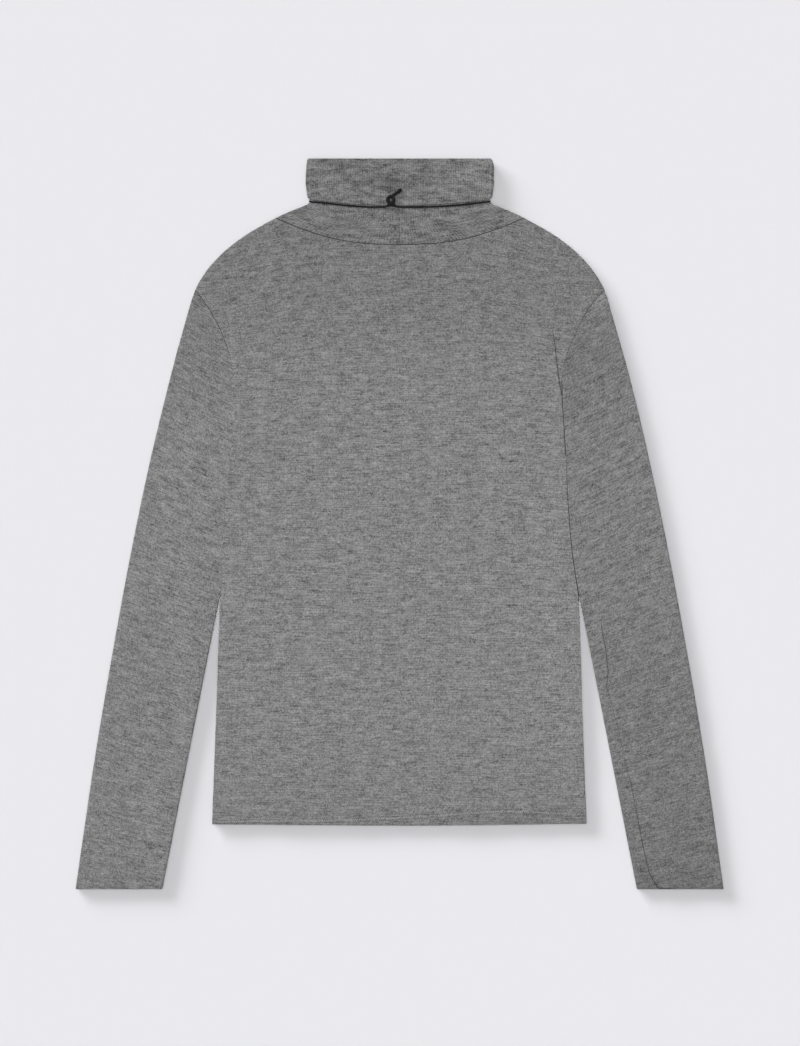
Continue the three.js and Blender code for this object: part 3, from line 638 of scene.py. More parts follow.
def body_panel(layer):
    """A body panel as a patch between its hem, side seams with armholes, and top edge. A point is
    the sum of what its two rows and its two columns give, less the part counted twice."""
    back = layer == "back"
    hem_lift = 0 if back else FRONT_HEM_LIFT
    inset = sizes().seam_gap / MM / 2

    def side_row(side):
        start = float(hem_at(side * PANEL_EDGE[0].left)) + hem_lift
        climb = np.arange(1, SIDE_STEPS) / SIDE_STEPS
        y = np.concatenate([start + RIM_ROWS, lerp(start + RIM_ROWS[-1], UNDERARM_Y, climb)])
        points = np.stack([side * panel_edge_at(y, side), y], -1)
        points = np.concatenate([points, armhole_row(side)[::-1]])
        return shifted(points, side * armhole_gap(points, side))

    def shoulder_row(side):
        i = np.arange(ROLL_STEPS + SHOULDER_STEPS)
        start = TIP_Y + 0.5 * roll_in(np.minimum(i, ROLL_STEPS))
        y = lerp(start, NECK_Y, np.maximum(0, i - ROLL_STEPS) / SHOULDER_STEPS)
        return np.stack([side * outline_at(y, side), y], -1)

    left, right = side_row(-1), side_row(1)
    neck = shifted(neck_row(layer), -inset)
    top = np.concatenate([shoulder_row(-1), neck, shoulder_row(1)[::-1]])
    top[0], top[-1] = left[-1], right[-1]
    columns, rows = len(top) - 1, len(left) - 1
    j = np.arange(columns + 1)
    x = lerp(left[0, 0], right[0, 0], (top[:, 0] - top[0, 0]) / (top[-1, 0] - top[0, 0]))
    x = np.where(j < ROLL_STEPS, left[0, 0] + roll_in(j), x)
    x = np.where(columns - j < ROLL_STEPS, right[0, 0] - roll_in(columns - j), x)
    bottom = np.stack([x, hem_at(x) + hem_lift], -1)

    s = np.linalg.norm(bottom - bottom[0], axis=1)
    s = (s / s[-1])[None, :, None]
    v = np.linalg.norm(left - left[0], axis=1)
    v = (v / v[-1])[:, None, None]
    between = lerp(bottom[None], top[None], v) + lerp(left[:, None], right[:, None], s)
    corners = lerp(lerp(bottom[0], top[0], v), lerp(bottom[-1], top[-1], v), s)
    plan = between - corners

    i = np.arange(rows + 1)[:, None]
    j = j[None, :]
    side = np.where(2 * j < columns, -1, 1)
    from_side = np.minimum(j, columns - j)
    above_underarm = i - (rows - ARMHOLE_STEPS - 2 * ROLL_STEPS)
    from_neck = from_side - ROLL_STEPS - SHOULDER_STEPS
    side_deficit = (1 - roll_full(from_side)) * (1 - roll_full(above_underarm))
    top_deficit = (1 - roll_full(rows - i)) * (1 - roll_full(from_neck))
    full = (1 - side_deficit) * (1 - top_deficit)
    px, py = plan[..., 0], plan[..., 1]
    outward = outward_at(panel_edge_at, np.minimum(py, UNDERARM_Y), side) * side_deficit[..., None]
    outward = outward + outward_at(outline_at, py, side) * (top_deficit[..., None] + TINY)
    outward /= np.linalg.norm(outward, axis=-1, keepdims=True)
    below = contact_level_at(py, side) * side_deficit + edge_level_at(py) * top_deficit
    level = below / (side_deficit + top_deficit + TINY) + (inset if back else -inset)
    face = top_at(px, py) if back else under_at(py)
    point, out = cloth_place(plan, full, outward, level, face, 1 if back else -1)
    hem_distance = py - hem_at(px) - hem_lift
    stitch = along(HEM_STITCHES, "x", "height", px) if back else FRONT_DOUBLED
    droop = ROW_DROOP * smooth(np.abs(px), *DROOP_ACROSS) * smooth(py, *DROOP_UP)
    uv = np.stack([px, py + droop], -1) * MM
    return hemmed(f"{layer}_panel_cloth", point, out, hem_distance, stitch, uv, False, BODY_PAINTED_SHADE)


def cloth_place(plan, full, outward, level, face, sense):
    """Outer points and the directions out of the cloth: height goes from the edge line's level to
    the face with full, and the direction turns from the outward one to straight up or down."""
    z = lerp(level, face, full)
    point = np.concatenate([plan, z[..., None]], -1)
    flat = np.sqrt(np.maximum(0, 1 - full * full))[..., None]
    out = np.concatenate([outward * flat, (sense * np.broadcast_to(full, z.shape))[..., None]], -1)
    return point, out


def hemmed(name, point, out, distance, stitch, uv, ring, painted_shading):
    """A wall whose open end is a hem: doubled up to its stitches, and rounded at its rim."""
    cloth = sizes().cloth / MM
    doubled = 1 - smooth(distance, stitch, stitch + DOUBLED_FADE)
    thick = cloth + DOUBLED_EXTRA * doubled
    lost = (1 - half_round(distance, thick)) * thick / 2
    outer = point - out * lost[..., None]
    inner = point - out * (thick - lost)[..., None]
    return wall(name, outer, inner, uv, ring, painted_shading)


def ring_columns(steps):
    """A flat tube's ring: which of its points are on the upper layer, and the column of each, out
    over the upper layer and back under it."""
    k = np.arange(2 * steps)
    upper = k <= steps
    return upper, np.where(upper, k, 2 * steps - k)


def sleeve(side):
    """A sleeve as rings from the armhole to the cuff. Each ring goes over the upper layer from the
    outer fold to the inner edge and back under it; the armhole's curve fades out down the arm."""
    row = armhole_row(side)
    end = shifted(row, side * armhole_gap(row, side))
    steps = len(end) - 1
    rim = 1 - RIM_ROWS[::-1] / (UNDERARM_Y - CUFF_Y)
    v = np.concatenate([np.linspace(0, rim[0], SLEEVE_STATIONS, endpoint=False), rim])[:, None]
    inner_y = lerp(UNDERARM_Y, CUFF_Y, v)
    outer_y = inner_y + (TIP_Y - UNDERARM_Y) * (1 - v) ** SHOULDER_EASE
    outer_edge = np.stack([side * outline_at(outer_y, side), outer_y], -1)
    inner_edge = np.stack([side * inner_edge_at(inner_y, side), inner_y], -1)
    square = smooth(v, SQUARE_FROM, 1)[..., None]
    outer_out = lerp(outward_at(outline_at, outer_y, side), np.array([side, 0.0]), square)
    inner_out = lerp(-outward_at(inner_edge_at, inner_y, side), np.array([-side, 0.0]), square)
    j = np.arange(steps + 1)[None, :]
    outer_end = outer_edge - outer_out * roll_in(j)[..., None]
    inner_end = inner_edge - inner_out * roll_in(steps - j)[..., None]
    s = np.clip((j - ROLL_STEPS) / (steps - 2 * ROLL_STEPS), 0, 1)[..., None]
    plan = lerp(outer_end, inner_end, s)
    plan = plan + (end[None] - plan[:1]) * ((1 - v) ** CAP_EASE)[..., None]

    upper, column = ring_columns(steps)
    ring_plan = plan[:, column]
    full = roll_full(np.minimum(column, steps - column))[None, :]
    outward = np.where((2 * column < steps)[None, :, None], outer_out, inner_out)
    px, py = ring_plan[..., 0], ring_plan[..., 1]
    face = np.where(upper[None, :], top_at(px, py), under_at(py))
    near_body = (2 * column >= steps)[None, :]
    level = np.where(near_body, contact_level_at(inner_y, side), EDGE_LEVEL) + np.zeros(px.shape)
    point, out = cloth_place(ring_plan, full, outward, level, face, np.where(upper, 1, -1))
    middle = lerp(outer_edge, inner_edge, 0.5)[:, 0, 0]
    centre = np.interp(py, lerp(outer_y, inner_y, 0.5)[::-1, 0], middle[::-1])
    lean = np.radians(np.interp(py, [CUFF_Y, TIP_Y], SLEEVE_LEAN))
    course = py - (px - centre) * np.tan(lean) * side
    uv = np.stack([px, course], -1) * MM
    name = "left_sleeve_cloth" if side < 0 else "right_sleeve_cloth"
    # Painted shade along the sleeve; the right one is drawn darker, away from the light
    painted_shading = LEFT_PAINTED_SHADE if side < 0 else RIGHT_PAINTED_SHADE
    return hemmed(name, point, out, py - CUFF_Y, CUFF_DOUBLED, uv, True, painted_shading)


def collar():
    """The collar as rings from the neck seam up the inner tube, over the fold and down the
    turn-down; offset is how far a ring's cloth stands out of the inner tube."""
    cloth = sizes().cloth / MM
    inset = sizes().seam_gap / MM / 2
    seams = {layer: shifted(neck_row(layer), inset) for layer in ("back", "front")}
    steps = len(seams["back"]) - 1
    climb = np.concatenate([np.linspace(0, 1, TUBE_STEPS, endpoint=False), np.ones(FOLD_STEPS + 1)])
    over = np.concatenate([np.zeros(TUBE_STEPS), np.linspace(0, np.pi, FOLD_STEPS + 1)])
    rim = 1 - RIM_ROWS[::-1] / (FOLD_Y - TURN_DOWN_BACK.middle)
    turned = np.concatenate([np.linspace(0, rim[0], TURN_DOWN_STEPS + 1)[1:-1], rim])
    rest = len(turned)
    turned = np.concatenate([np.zeros(len(climb)), turned])[:, None]
    climb = np.concatenate([climb, np.ones(rest)])[:, None]
    over = np.concatenate([over, np.full(rest, np.pi)])[:, None]
    offset = FOLD_RADIUS * (1 - np.cos(over))

    upper, column = ring_columns(steps)
    seam = np.where(upper[:, None], seams["back"][column], seams["front"][column])[None]
    side = np.where(2 * column < steps, -1, 1)[None, :]
    from_side = np.minimum(column, steps - column)[None, :]
    spread = np.minimum(np.abs(seam[..., 0]) / outline_at(NECK_Y, side), 1)
    back_line = lerp(TURN_DOWN_BACK.middle, TURN_DOWN_BACK.corner, spread**2)
    front_line = lerp(TURN_DOWN_FRONT.middle, TURN_DOWN_FRONT.corner, spread**2)
    corner_turn = np.maximum(0, 1 - from_side / ROLL_STEPS)
    lower_edge = lerp(np.where(upper, back_line, front_line), TURN_DOWN_SIDE_Y, corner_turn)
    y = lerp(lerp(seam[..., 1], FOLD_Y, climb), lower_edge, turned)
    side_y = lerp(lerp(NECK_Y, FOLD_Y, climb), TURN_DOWN_SIDE_Y, turned)
    half = outline_at(side_y, side) - cloth / 2 + offset
    reach = lerp(ROLL, COLLAR_ROLL, smooth(climb, 0, COLLAR_ROLL_CLIMB)) + offset
    flat = (half - reach) * seam[..., 0] / (outline_at(NECK_Y, side) - ROLL)
    x = np.where(from_side < ROLL_STEPS, side * (half - roll_in(from_side, reach)), flat)
    edge_out = outward_at(outline_at, side_y[:1], side)
    edge_out = edge_out * np.sqrt(1 - roll_full(from_side) ** 2)[..., None]
    start = seam - edge_out * cloth / 2
    fade = np.maximum(0, 1 - climb / NECK_FADE)
    x = x + (start[..., 0] - x[:1]) * fade
    y = y + (start[..., 1] - y[:1]) * fade
    press = np.where(upper, TURN_DOWN_PRESS, -TURN_DOWN_DROP) * turned
    raised = offset - press - cloth / 2
    full = roll_full(from_side)
    creases = folds_at(COLLAR_FOLDS, x, y) * (turned > 0) * upper
    inner_tube = turned == 0
    gathers = np.sin(GATHER_TURN * x + GATHER_SWAY * np.sin(GATHER_SLOW * x))
    gathers = GATHER_RISE * gathers * smooth(y, *GATHERS_FROM) * (1 - smooth(y, *GATHERS_TO))
    gathers = gathers * inner_tube
    seam_line = groove(x - BACK_SEAM_X, BACK_SEAM_DEPTH, BACK_SEAM_REACH) * inner_tube * upper
    above = top_at(x, y) + raised + creases + gathers + seam_line
    face = np.where(upper, above, under_at(y) - raised)
    level = edge_level_at(side_y) + np.zeros(x.shape)
    tilt = outward_at(outline_at, side_y, side)
    plan = np.stack([x, y], -1)
    point, out = cloth_place(plan, full, tilt, level, face, np.where(upper, 1, -1))
    out = out * np.cos(over)[..., None]
    out[..., 1] += np.sin(over)
    out /= np.linalg.norm(out, axis=-1, keepdims=True)
    point[..., 1] += FOLD_RADIUS * np.sin(over)
    rim_distance = (1 - turned) * (FOLD_Y - TURN_DOWN_BACK.middle)
    kept = np.where(turned > 0, half_round(rim_distance, cloth), 1)[..., None]
    fold_row = point[TUBE_STEPS, : steps + 1]
    around = np.cumsum(np.linalg.norm(np.diff(fold_row, axis=0, prepend=fold_row[:1]), axis=1))
    around = (around - around[-1] / 2)[column]
    length = np.cumsum(np.linalg.norm(np.diff(point, axis=0, prepend=point[:1]), axis=-1), axis=0)
    uv = np.stack([around + np.zeros(x.shape), length], -1) * MM
    half_wall = out * cloth / 2 * kept
    return wall("collar_cloth", point + half_wall, point - half_wall, uv, True, COLLAR_PAINTED_SHADE)


def spaced(route, gap):
    """A smooth path through given points: each stretch is the cubic whose slopes are those of the
    chords past its ends, and the path is cut to even steps of about gap."""
    points = np.array(route, float)
    padded = np.concatenate([2 * points[:1] - points[1:2], points, 2 * points[-1:] - points[-2:-1]])
    t = np.linspace(0, 1, SPLINE_STEPS, endpoint=False)[:, None]
    pieces = []
    for a, b, c, d in zip(padded, padded[1:], padded[2:], padded[3:]):
        bend = 2 * a - 5 * b + 4 * c - d + t * (3 * (b - c) + d - a)
        pieces.append(b + 0.5 * t * (c - a + t * bend))
    path = np.concatenate(pieces + [points[-1:]])
    length = run_along(path)[-1]
    return points_at(path, np.linspace(0, length, max(4, int(length / gap))))


def ring_triangles(index):
    """Two triangles between each two neighbours of two neighbouring rings."""
    quads = np.stack([index[:-1, :-1], index[:-1, 1:], index[1:, 1:], index[1:, :-1]], -1)
    quads = quads.reshape(-1, 4)
    return np.concatenate([quads[:, [0, 1, 2]], quads[:, [0, 2, 3]]])


def strand(name, path, radius, sides=KNOT_SIDES):
    """A round tube with domed ends along a path: circles square to it, turned as little as they
    can be from one to the next; UV is the length along it and the way round it."""
    run = np.gradient(path, axis=0)
    run /= np.linalg.norm(run, axis=1, keepdims=True)
    up = np.array([0.0, 0.0, 1.0]) - run * run[:, 2:]
    up /= np.linalg.norm(up, axis=1, keepdims=True)
    across = np.cross(run, up)
    angle = np.linspace(0, 2 * np.pi, sides, endpoint=False)[None, :, None]
    circle = np.cos(angle) * across[:, None] + np.sin(angle) * up[:, None]
    rings = [path[0] + radius * (np.cos(a) * circle[0] - np.sin(a) * run[0]) for a in DOME]
    rings += list(path[:, None] + radius * circle)
    rings += [path[-1] + radius * (np.cos(a) * circle[-1] + np.sin(a) * run[-1]) for a in DOME[::-1]]
    rings = np.array(rings)
    length = run_along(rings.mean(1)) * MM
    count = len(rings)
    tips = np.array([path[0] - radius * run[0], path[-1] + radius * run[-1]])
    points = np.concatenate([rings.reshape(-1, 3), tips])
    index = numbered(count, sides)
    first = np.stack([np.full(sides, count * sides), index[0, 1:], index[0, :-1]], -1)
    last = np.stack([np.full(sides, count * sides + 1), index[-1, :-1], index[-1, 1:]], -1)
    uv = np.stack(np.broadcast_arrays(length[:, None], np.arange(sides) / sides), -1).reshape(-1, 2)
    uv = np.concatenate([uv, [[0, 0], [length[-1], 0]]])
    return surface(name, points, np.concatenate([ring_triangles(index), first, last]), uv)


def stitches(name, rows, radius, share):
    """Rows of straight stitches: each is a short thread with blunt ends that dips into the cloth at
    both. Rows are paths of points on the cloth, one stitch between each two, and radius is one for
    all or one for each stitch."""
    start = np.concatenate([row[:-1] for row in rows])
    run = np.concatenate([row[1:] for row in rows]) - start
    radius = np.broadcast_to(radius, len(start))
    start, run, radius = (part[radius > LEAST_THREAD] for part in (start, run, radius))
    across = np.cross(run, [0.0, 0.0, 1.0])
    across /= np.linalg.norm(across, axis=1, keepdims=True)
    count = len(start)
    radius = radius[:, None]
    place, size, height = np.transpose(STITCH_SECTIONS)
    size = size * radius
    angle = 2 * np.pi * np.arange(STITCH_SIDES) / STITCH_SIDES
    centre = start[:, None] + run[:, None] * (0.5 + share * place[:, None])
    centre[..., 2] += height * radius
    points = centre[:, :, None] + (size[..., None] * np.cos(angle))[..., None] * across[:, None, None]
    points[..., 2] += size[..., None] * np.sin(angle)
    rings = len(place)
    fan = np.arange(1, STITCH_SIDES - 1)
    near = np.stack([0 * fan, fan + 1, fan], -1)
    far = (rings - 1) * STITCH_SIDES + near[:, ::-1]
    one = np.concatenate([ring_triangles(numbered(rings, STITCH_SIDES)), near, far])
    step = np.arange(count) * rings * STITCH_SIDES
    faces = (one[None] + step[:, None, None]).reshape(-1, 3)
    points = points.reshape(-1, 3)
    return surface(name, points, faces, points[:, :2] * MM)


def on_cloth(x, y, z):
    """Points in plan at heights on the cloth."""
    return np.stack(np.broadcast_arrays(x, y, z), -1).astype(float)


def hem_rows(layer, shares):
    """Rows of stitches along a hem, on its outer face: 0 is the upper needle's, 1 the lower's."""
    x = np.arange(-HEM_ROWS_REACH, HEM_ROWS_REACH, sizes().stitch_pitch / MM)
    back = layer == "back"
    height = along(HEM_STITCHES, "x", "height", x) if back else FRONT_ROW_HEIGHT
    apart = along(HEM_STITCHES, "x", "apart", x) if back else FRONT_ROWS_APART
    rows = []
    for share in shares:
        y = hem_at(x) + height - share * apart
        rows.append(on_cloth(x, y, top_at(x, y) if back else UNDERSIDE_THREAD))
    return rows


def cuff_rows(side):
    """Two rows of stitches round a cuff: over its upper layer and under its lower one."""
    rows = []
    for height in CUFF_ROW_HEIGHTS:
        y = CUFF_Y + height
        low = float(inner_edge_at(y, side)) + CUFF_ROWS_INSET
        high = float(outline_at(y, side)) - CUFF_ROWS_INSET
        x = side * np.arange(low, high, sizes().stitch_pitch / MM)
        rows += [on_cloth(x, y, top_at(x, y)), on_cloth(x, y, UNDERSIDE_THREAD)]
    return rows


def even(x, y):
    """Plan points along a line, a seam stitch's pitch apart."""
    line = np.stack([x, y], -1)
    return points_at(line, np.arange(0, run_along(line)[-1], SEAM_PITCH)).T


def seam_rows():
    """Rows of dark thread along the seams and creases, each with its stitches' radii: both armholes,
    the neck seam, the pinched lines and the right side seam. They are seam thread in part, and painted
    shade where they draw the seams' and creases' shadow lines."""
    lines = []
    for side in (-1, 1):
        y = np.linspace(TIP_Y - 0.5, UNDERARM_Y + 1, CURVE_POINTS)
        x, y = even(side * panel_edge_at(y, side), y)
        lines.append((x, y, ARMHOLE_THREAD * by_side(SEAM_SHOW, y, side)))
    x, y = even(*neck_row("back")[2:-2].T)
    lines.append((x, y, np.full(len(x), NECK_THREAD)))
    for places in PINCHED:
        places = np.array(places)
        run = run_along(places[:, :2])
        at = np.arange(0, run[-1] + SEAM_PITCH / 2, min(SEAM_PITCH, run[-1] / LONE_STITCH))
        x, y, width = (np.interp(at, run, column) for column in places.T)
        lines.append((x, y, PINCHED_THREAD * width))
    rows = [on_cloth(x, y, top_at(x, y) + THREAD_RISE) for x, y, _ in lines]
    radii = [radius[:-1] for _, _, radius in lines]
    y = np.linspace(*SIDE_SEAM, CURVE_POINTS)
    x, y = even(panel_edge_at(y, 1) + SIDE_GAP_RIGHT / 2, y)
    rows.append(on_cloth(x, y, contact_level_at(y, 1) + SIDE_THREAD_RISE))
    radii.append(np.full(len(x) - 1, SIDE_THREAD))
    return rows, np.concatenate(radii)


def node(tree, kind, settings=None, links=None):
    """Adds a shader node: settings are its own fields or its sockets' values, by name or number,
    and links are sockets to join to each input."""
    made = tree.nodes.new("ShaderNode" + kind)
    for key, value in (settings or {}).items():
        if isinstance(key, str) and hasattr(made, key):
            setattr(made, key, value)
        else:
            made.inputs[key].default_value = value
    for key, source in (links or {}).items():
        tree.links.new(source, made.inputs[key])
    return made


def new_material(name):
    """An empty node material and its tree."""
    material = bpy.data.materials.new(name)
    material.use_nodes = True
    material.node_tree.nodes.clear()
    return material, material.node_tree


def heather_jersey(name, ribbed=0.01, mottled=0.22):
    """Fine cotton and viscose jersey, knitted from a yarn of mixed dark and light grey fibres and
    brushed a little. To the eye: matt, with short streaks along the knitted rows that no two
    stitches share, a grain of single loops, faint columns of stitches and a soft pale bloom at
    grazing angles. Ribbed is how plainly the columns show, and mottled the wide blotches."""
    colours = bpy.context.scene.sweater_colours
    material, tree = new_material(name)
    uv = node(tree, "TexCoord").outputs["UV"]
    band = sizes().column_pitch / WAVE_PERIOD / MM
    # Layers of the tone: texture, millimetres of cloth across and up, settings, output and share
    layers = (
        ("Noise", 16.0, 6.0, {"Detail": 2.0, "Roughness": 0.6}, 0, mottled),
        ("Noise", 26.0, 1.0, {"Detail": 1.0, "Roughness": 0.5}, 0, SLUBS),
        ("Noise", 9.0, 1.05, {"Detail": 2.0, "Roughness": 0.6}, 0, STREAKS),
        ("Voronoi", 1.15, 1.05, {}, "Color", LOOPS),
        ("Wave", band, band, {"Distortion": 2.0, "Detail": 1.0, "bands_direction": "X"}, 1, ribbed),
    )
    links = {}
    for texture, across, up, settings, output, share in layers:
        scale = (1 / (across * MM), 1 / (up * MM), 1)
        place = node(tree, "Mapping", {"Scale": scale}, {"Vector": uv}).outputs[0]
        made = node(tree, "Tex" + texture, {"Scale": 1.0, **settings}, {"Vector": place})
        links[0] = made.outputs[output]
        share_of = {"operation": "MULTIPLY_ADD", 1: share, 2: 0.0}
        mixed = node(tree, "Math", share_of, links).outputs[0]
        links = {2: mixed}
    columns = made.outputs[1]
    middle = (LOOPS + STREAKS + SLUBS + mottled + ribbed) / 2
    limits = {"From Min": middle - TONE_REACH, "From Max": middle + TONE_REACH}
    spread = node(tree, "MapRange", limits, {"Value": mixed}).outputs[0]
    fibres = {"data_type": "RGBA", 6: (*colours.dark_fibre, 1), 7: (*colours.light_fibre, 1)}
    fibre = node(tree, "Mix", fibres, {0: spread}).outputs[2]
    # The attribute multiplies the yarn's colour with painted shade and painted light
    shade = node(tree, "Attribute", {"attribute_name": "shade"}).outputs["Fac"]
    product = {"data_type": "RGBA", "blend_type": "MULTIPLY", 0: 1.0}
    toned = node(tree, "Mix", product, {6: fibre, 7: shade}).outputs[2]
    raised = {"operation": "MULTIPLY_ADD", 1: 0.25}
    relief = node(tree, "Math", raised, {0: columns, 2: mixed}).outputs[0]
    bump = node(tree, "Bump", {"Strength": 0.3, "Distance": 0.0005}, {"Height": relief}).outputs[0]
    look = {"Roughness": 0.95, "Specular IOR Level": 0.15, "Sheen Weight": 0.12, "Sheen Roughness": 0.5}
    shader = node(tree, "BsdfPrincipled", look, {"Base Color": toned, "Normal": bump})
    node(tree, "OutputMaterial", {}, {"Surface": shader.outputs[0]})
    return material


def scaled(colour, share):
    """A linear colour made that much darker or lighter, with full alpha."""
    return (*[share * channel for channel in colour], 1)


def stitching_thread(name, base):
    """Spun polyester sewing thread: a dull, slightly glossy dash."""
    material, tree = new_material(name)
    place = node(tree, "TexCoord").outputs["Object"]
    noise = node(tree, "TexNoise", {"Scale": 900.0, "Detail": 1.0}, {"Vector": place}).outputs[0]
    tones = {"data_type": "RGBA", 6: scaled(base, 0.75), 7: scaled(base, 1.2)}
    colour = node(tree, "Mix", tones, {0: noise}).outputs[2]
    look = {"Roughness": 0.7, "Specular IOR Level": 0.3}
    shader = node(tree, "BsdfPrincipled", look, {"Base Color": colour})
    node(tree, "OutputMaterial", {}, {"Surface": shader.outputs[0]})
    return material


def waxed_cord(name):
    """Twisted cotton cord, waxed black. To the eye: near black, with slanting strands: a sine of 650
    turns for each metre along it and two round it. The colour follows the sine, lighter on the strands'
    crests
    and darker between them: a painted highlight and shade of the strands that catch a dull light. The
    strands are drawn about 1.5 mm long, coarser than the real ones, to show."""
    material, tree = new_material(name)
    uv = node(tree, "TexCoord").outputs["UV"]
    parts = node(tree, "SeparateXYZ", {}, {0: uv}).outputs
    along_it = node(tree, "Math", {"operation": "MULTIPLY", 1: 650.0}, {0: parts[0]}).outputs[0]
    round_it = {0: parts[1], 2: along_it}
    turns = node(tree, "Math", {"operation": "MULTIPLY_ADD", 1: 2.0}, round_it).outputs[0]
    angle = node(tree, "Math", {"operation": "MULTIPLY", 1: 2 * math.pi}, {0: turns}).outputs[0]
    twist = node(tree, "Math", {"operation": "SINE"}, {0: angle}).outputs[0]
    spread = node(tree, "MapRange", {"From Min": -1.0, "From Max": 1.0}, {"Value": twist}).outputs[0]
    # Painted highlight and shade: lighter where the twist's sine is high, darker where it is low
    base = bpy.context.scene.sweater_colours.cord
    tones = {"data_type": "RGBA", 6: scaled(base, 0.6), 7: scaled(base, 1.6)}
    colour = node(tree, "Mix", tones, {0: spread}).outputs[2]
    bump = node(tree, "Bump", {"Strength": 0.6, "Distance": 0.0003}, {"Height": twist}).outputs[0]
    look = {"Roughness": 0.6, "Specular IOR Level": 0.3}
    shader = node(tree, "BsdfPrincipled", look, {"Base Color": colour, "Normal": bump})
    node(tree, "OutputMaterial", {}, {"Surface": shader.outputs[0]})
    return material


def matt_paper(name):
    """Seamless studio paper: an even, cool off-white with no shine."""
    material, tree = new_material(name)
    colour = scaled(bpy.context.scene.sweater_colours.paper, 1)
    look = {"Base Color": colour, "Roughness": 1.0, "Specular IOR Level": 0.0}
    shader = node(tree, "BsdfPrincipled", look)
    node(tree, "OutputMaterial", {}, {"Surface": shader.outputs[0]})
    return material


def finished(piece, material, slot_name, *replaced):
    """Gives a piece its material, rides it on the one body, and hides what it replaces. The slot name
    is not used.
    """
    piece.data.materials.append(material)
    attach(piece, "root")
    if replaced:
        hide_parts(*replaced)
    return piece


def sizes():
    """The sizes of the cloth and the knit."""
    return bpy.context.scene.sweater_sizes


def length_property(name, description, default):
    """A length in metres that a user can change."""
    return bpy.props.FloatProperty(
        name=name, description=description, default=default, min=0, precision=5, unit="LENGTH"
    )


def colour_property(name, description, text):
    """A colour that a user can change, given as an sRGB hex value."""
    return bpy.props.FloatVectorProperty(
        name=name,
        description=description,
        default=linear_from_hex(text),
        min=0,
        max=1,
        subtype="COLOR",
    )


class SweaterSizes(bpy.types.PropertyGroup):
    """Sizes of the cloth, its seams and its knit."""

    cloth: length_property("Cloth", "Thickness of one layer with its nap", 0.001)
    seam_gap: length_property("Seam gap", "Between two pieces at a seam", 0.00012)
    seam_depth: length_property("Seam depth", "How deep a seam sinks into the cloth", 0.0004)
    stitch_pitch: length_property("Stitch pitch", "Length of one stitch of a hem", 0.0022)
    column_pitch: length_property("Column pitch", "Between columns of the knit, drawn coarse", 0.0023)
    cord_diameter: length_property("Cord", "Diameter of the cord", 0.0017)


class SweaterColours(bpy.types.PropertyGroup):
    """Colours of the yarn, thread, cord and paper."""

    dark_fibre: colour_property("Dark fibre", "Darkest streaks of the yarn", "#4a4a4a")
    light_fibre: colour_property("Light fibre", "Lightest streaks of the yarn", "#a6a6a6")
    thread: colour_property("Thread", "Sewing thread of the hems", "#bcbcbc")
    # Partly painted shade: this dark thread is the seams' and cuffs' thread, and also draws the shadow
    # lines of seams and creases and the pinholes of the hems' needle rows
    seam_thread_and_shade: colour_property("Seam thread", "Dark thread deep in the seams", "#343434")
    cord: colour_property("Cord", "Waxed cord", "#08080a")
    paper: colour_property("Paper", "Studio paper", "#ebeaee")


def softbox(name, energy, elevation, width, turn):
    """A distant soft lamp at the upper left, that many degrees up and wide, and turned."""
    light = bpy.data.lights.new(name, "SUN")
    light.energy = energy
    light.angle = math.radians(width)
    lamp = bpy.data.objects.new(name, light)
    across, drop = (f(math.radians(elevation)) for f in (math.cos, math.sin))
    way = math.radians(LIGHT_WAY + turn)
    aim = Vector((across * math.cos(way), across * math.sin(way), -drop))
    lamp.rotation_euler = aim.to_track_quat("-Z", "Y").to_euler()
    bpy.context.scene.collection.objects.link(lamp)
    return lamp


class SWEATER_OT_stage(bpy.types.Operator):
    """Camera straight above, soft light from the upper left, and pale paper under the sweater"""

    bl_idname = "sweater.stage"
    bl_label = "Stage"

    def execute(self, context):
        scene = context.scene
        camera = bpy.data.objects.new("camera", bpy.data.cameras.new("camera"))
        camera.data.lens = LENS
        camera.data.sensor_width = SENSOR
        camera.data.clip_end = CLIP_END
        camera.location = (*FRAME_CENTRE, FRAME_HEIGHT * LENS / SENSOR)
        scene.collection.objects.link(camera)
        scene.camera = camera
        scene.view_settings.view_transform = "Standard"

        paper = bpy.data.meshes.new("paper")
        corners = [(PAPER_HALF * x, PAPER_HALF * y, PAPER_LEVEL) for x, y in PAPER_CORNERS]
        paper.from_pydata(corners, [], [(0, 1, 2, 3)])
        paper.materials.append(matt_paper("seamless studio paper"))
        floor = bpy.data.objects.new("paper", paper)
        scene.collection.objects.link(floor)

        world = bpy.data.worlds.new("studio")
        scene.world = world
        world.use_nodes = True
        background = world.node_tree.nodes["Background"]
        background.inputs["Color"].default_value = (1, 1, 1, 1)
        background.inputs["Strength"].default_value = SKY_STRENGTH

        # The low lamps are flagged off the sweater and rake the paper only, for its long soft
        # shadow; the key is flagged off the paper and models the cloth.
        on_paper = bpy.data.collections.new("paper only")
        off_paper = bpy.data.collections.new("all but the paper")
        lit = {"raking softbox": on_paper, "key softbox": off_paper}
        for receivers in lit.values():
            receivers.objects.link(floor)
        for lamp in LAMPS:
            made = softbox(*lamp)
            if lamp.name in lit:
                made.light_linking.receiver_collection = lit[lamp.name]
        off_paper.collection_objects[0].light_linking.link_state = "EXCLUDE"
        return {"FINISHED"}


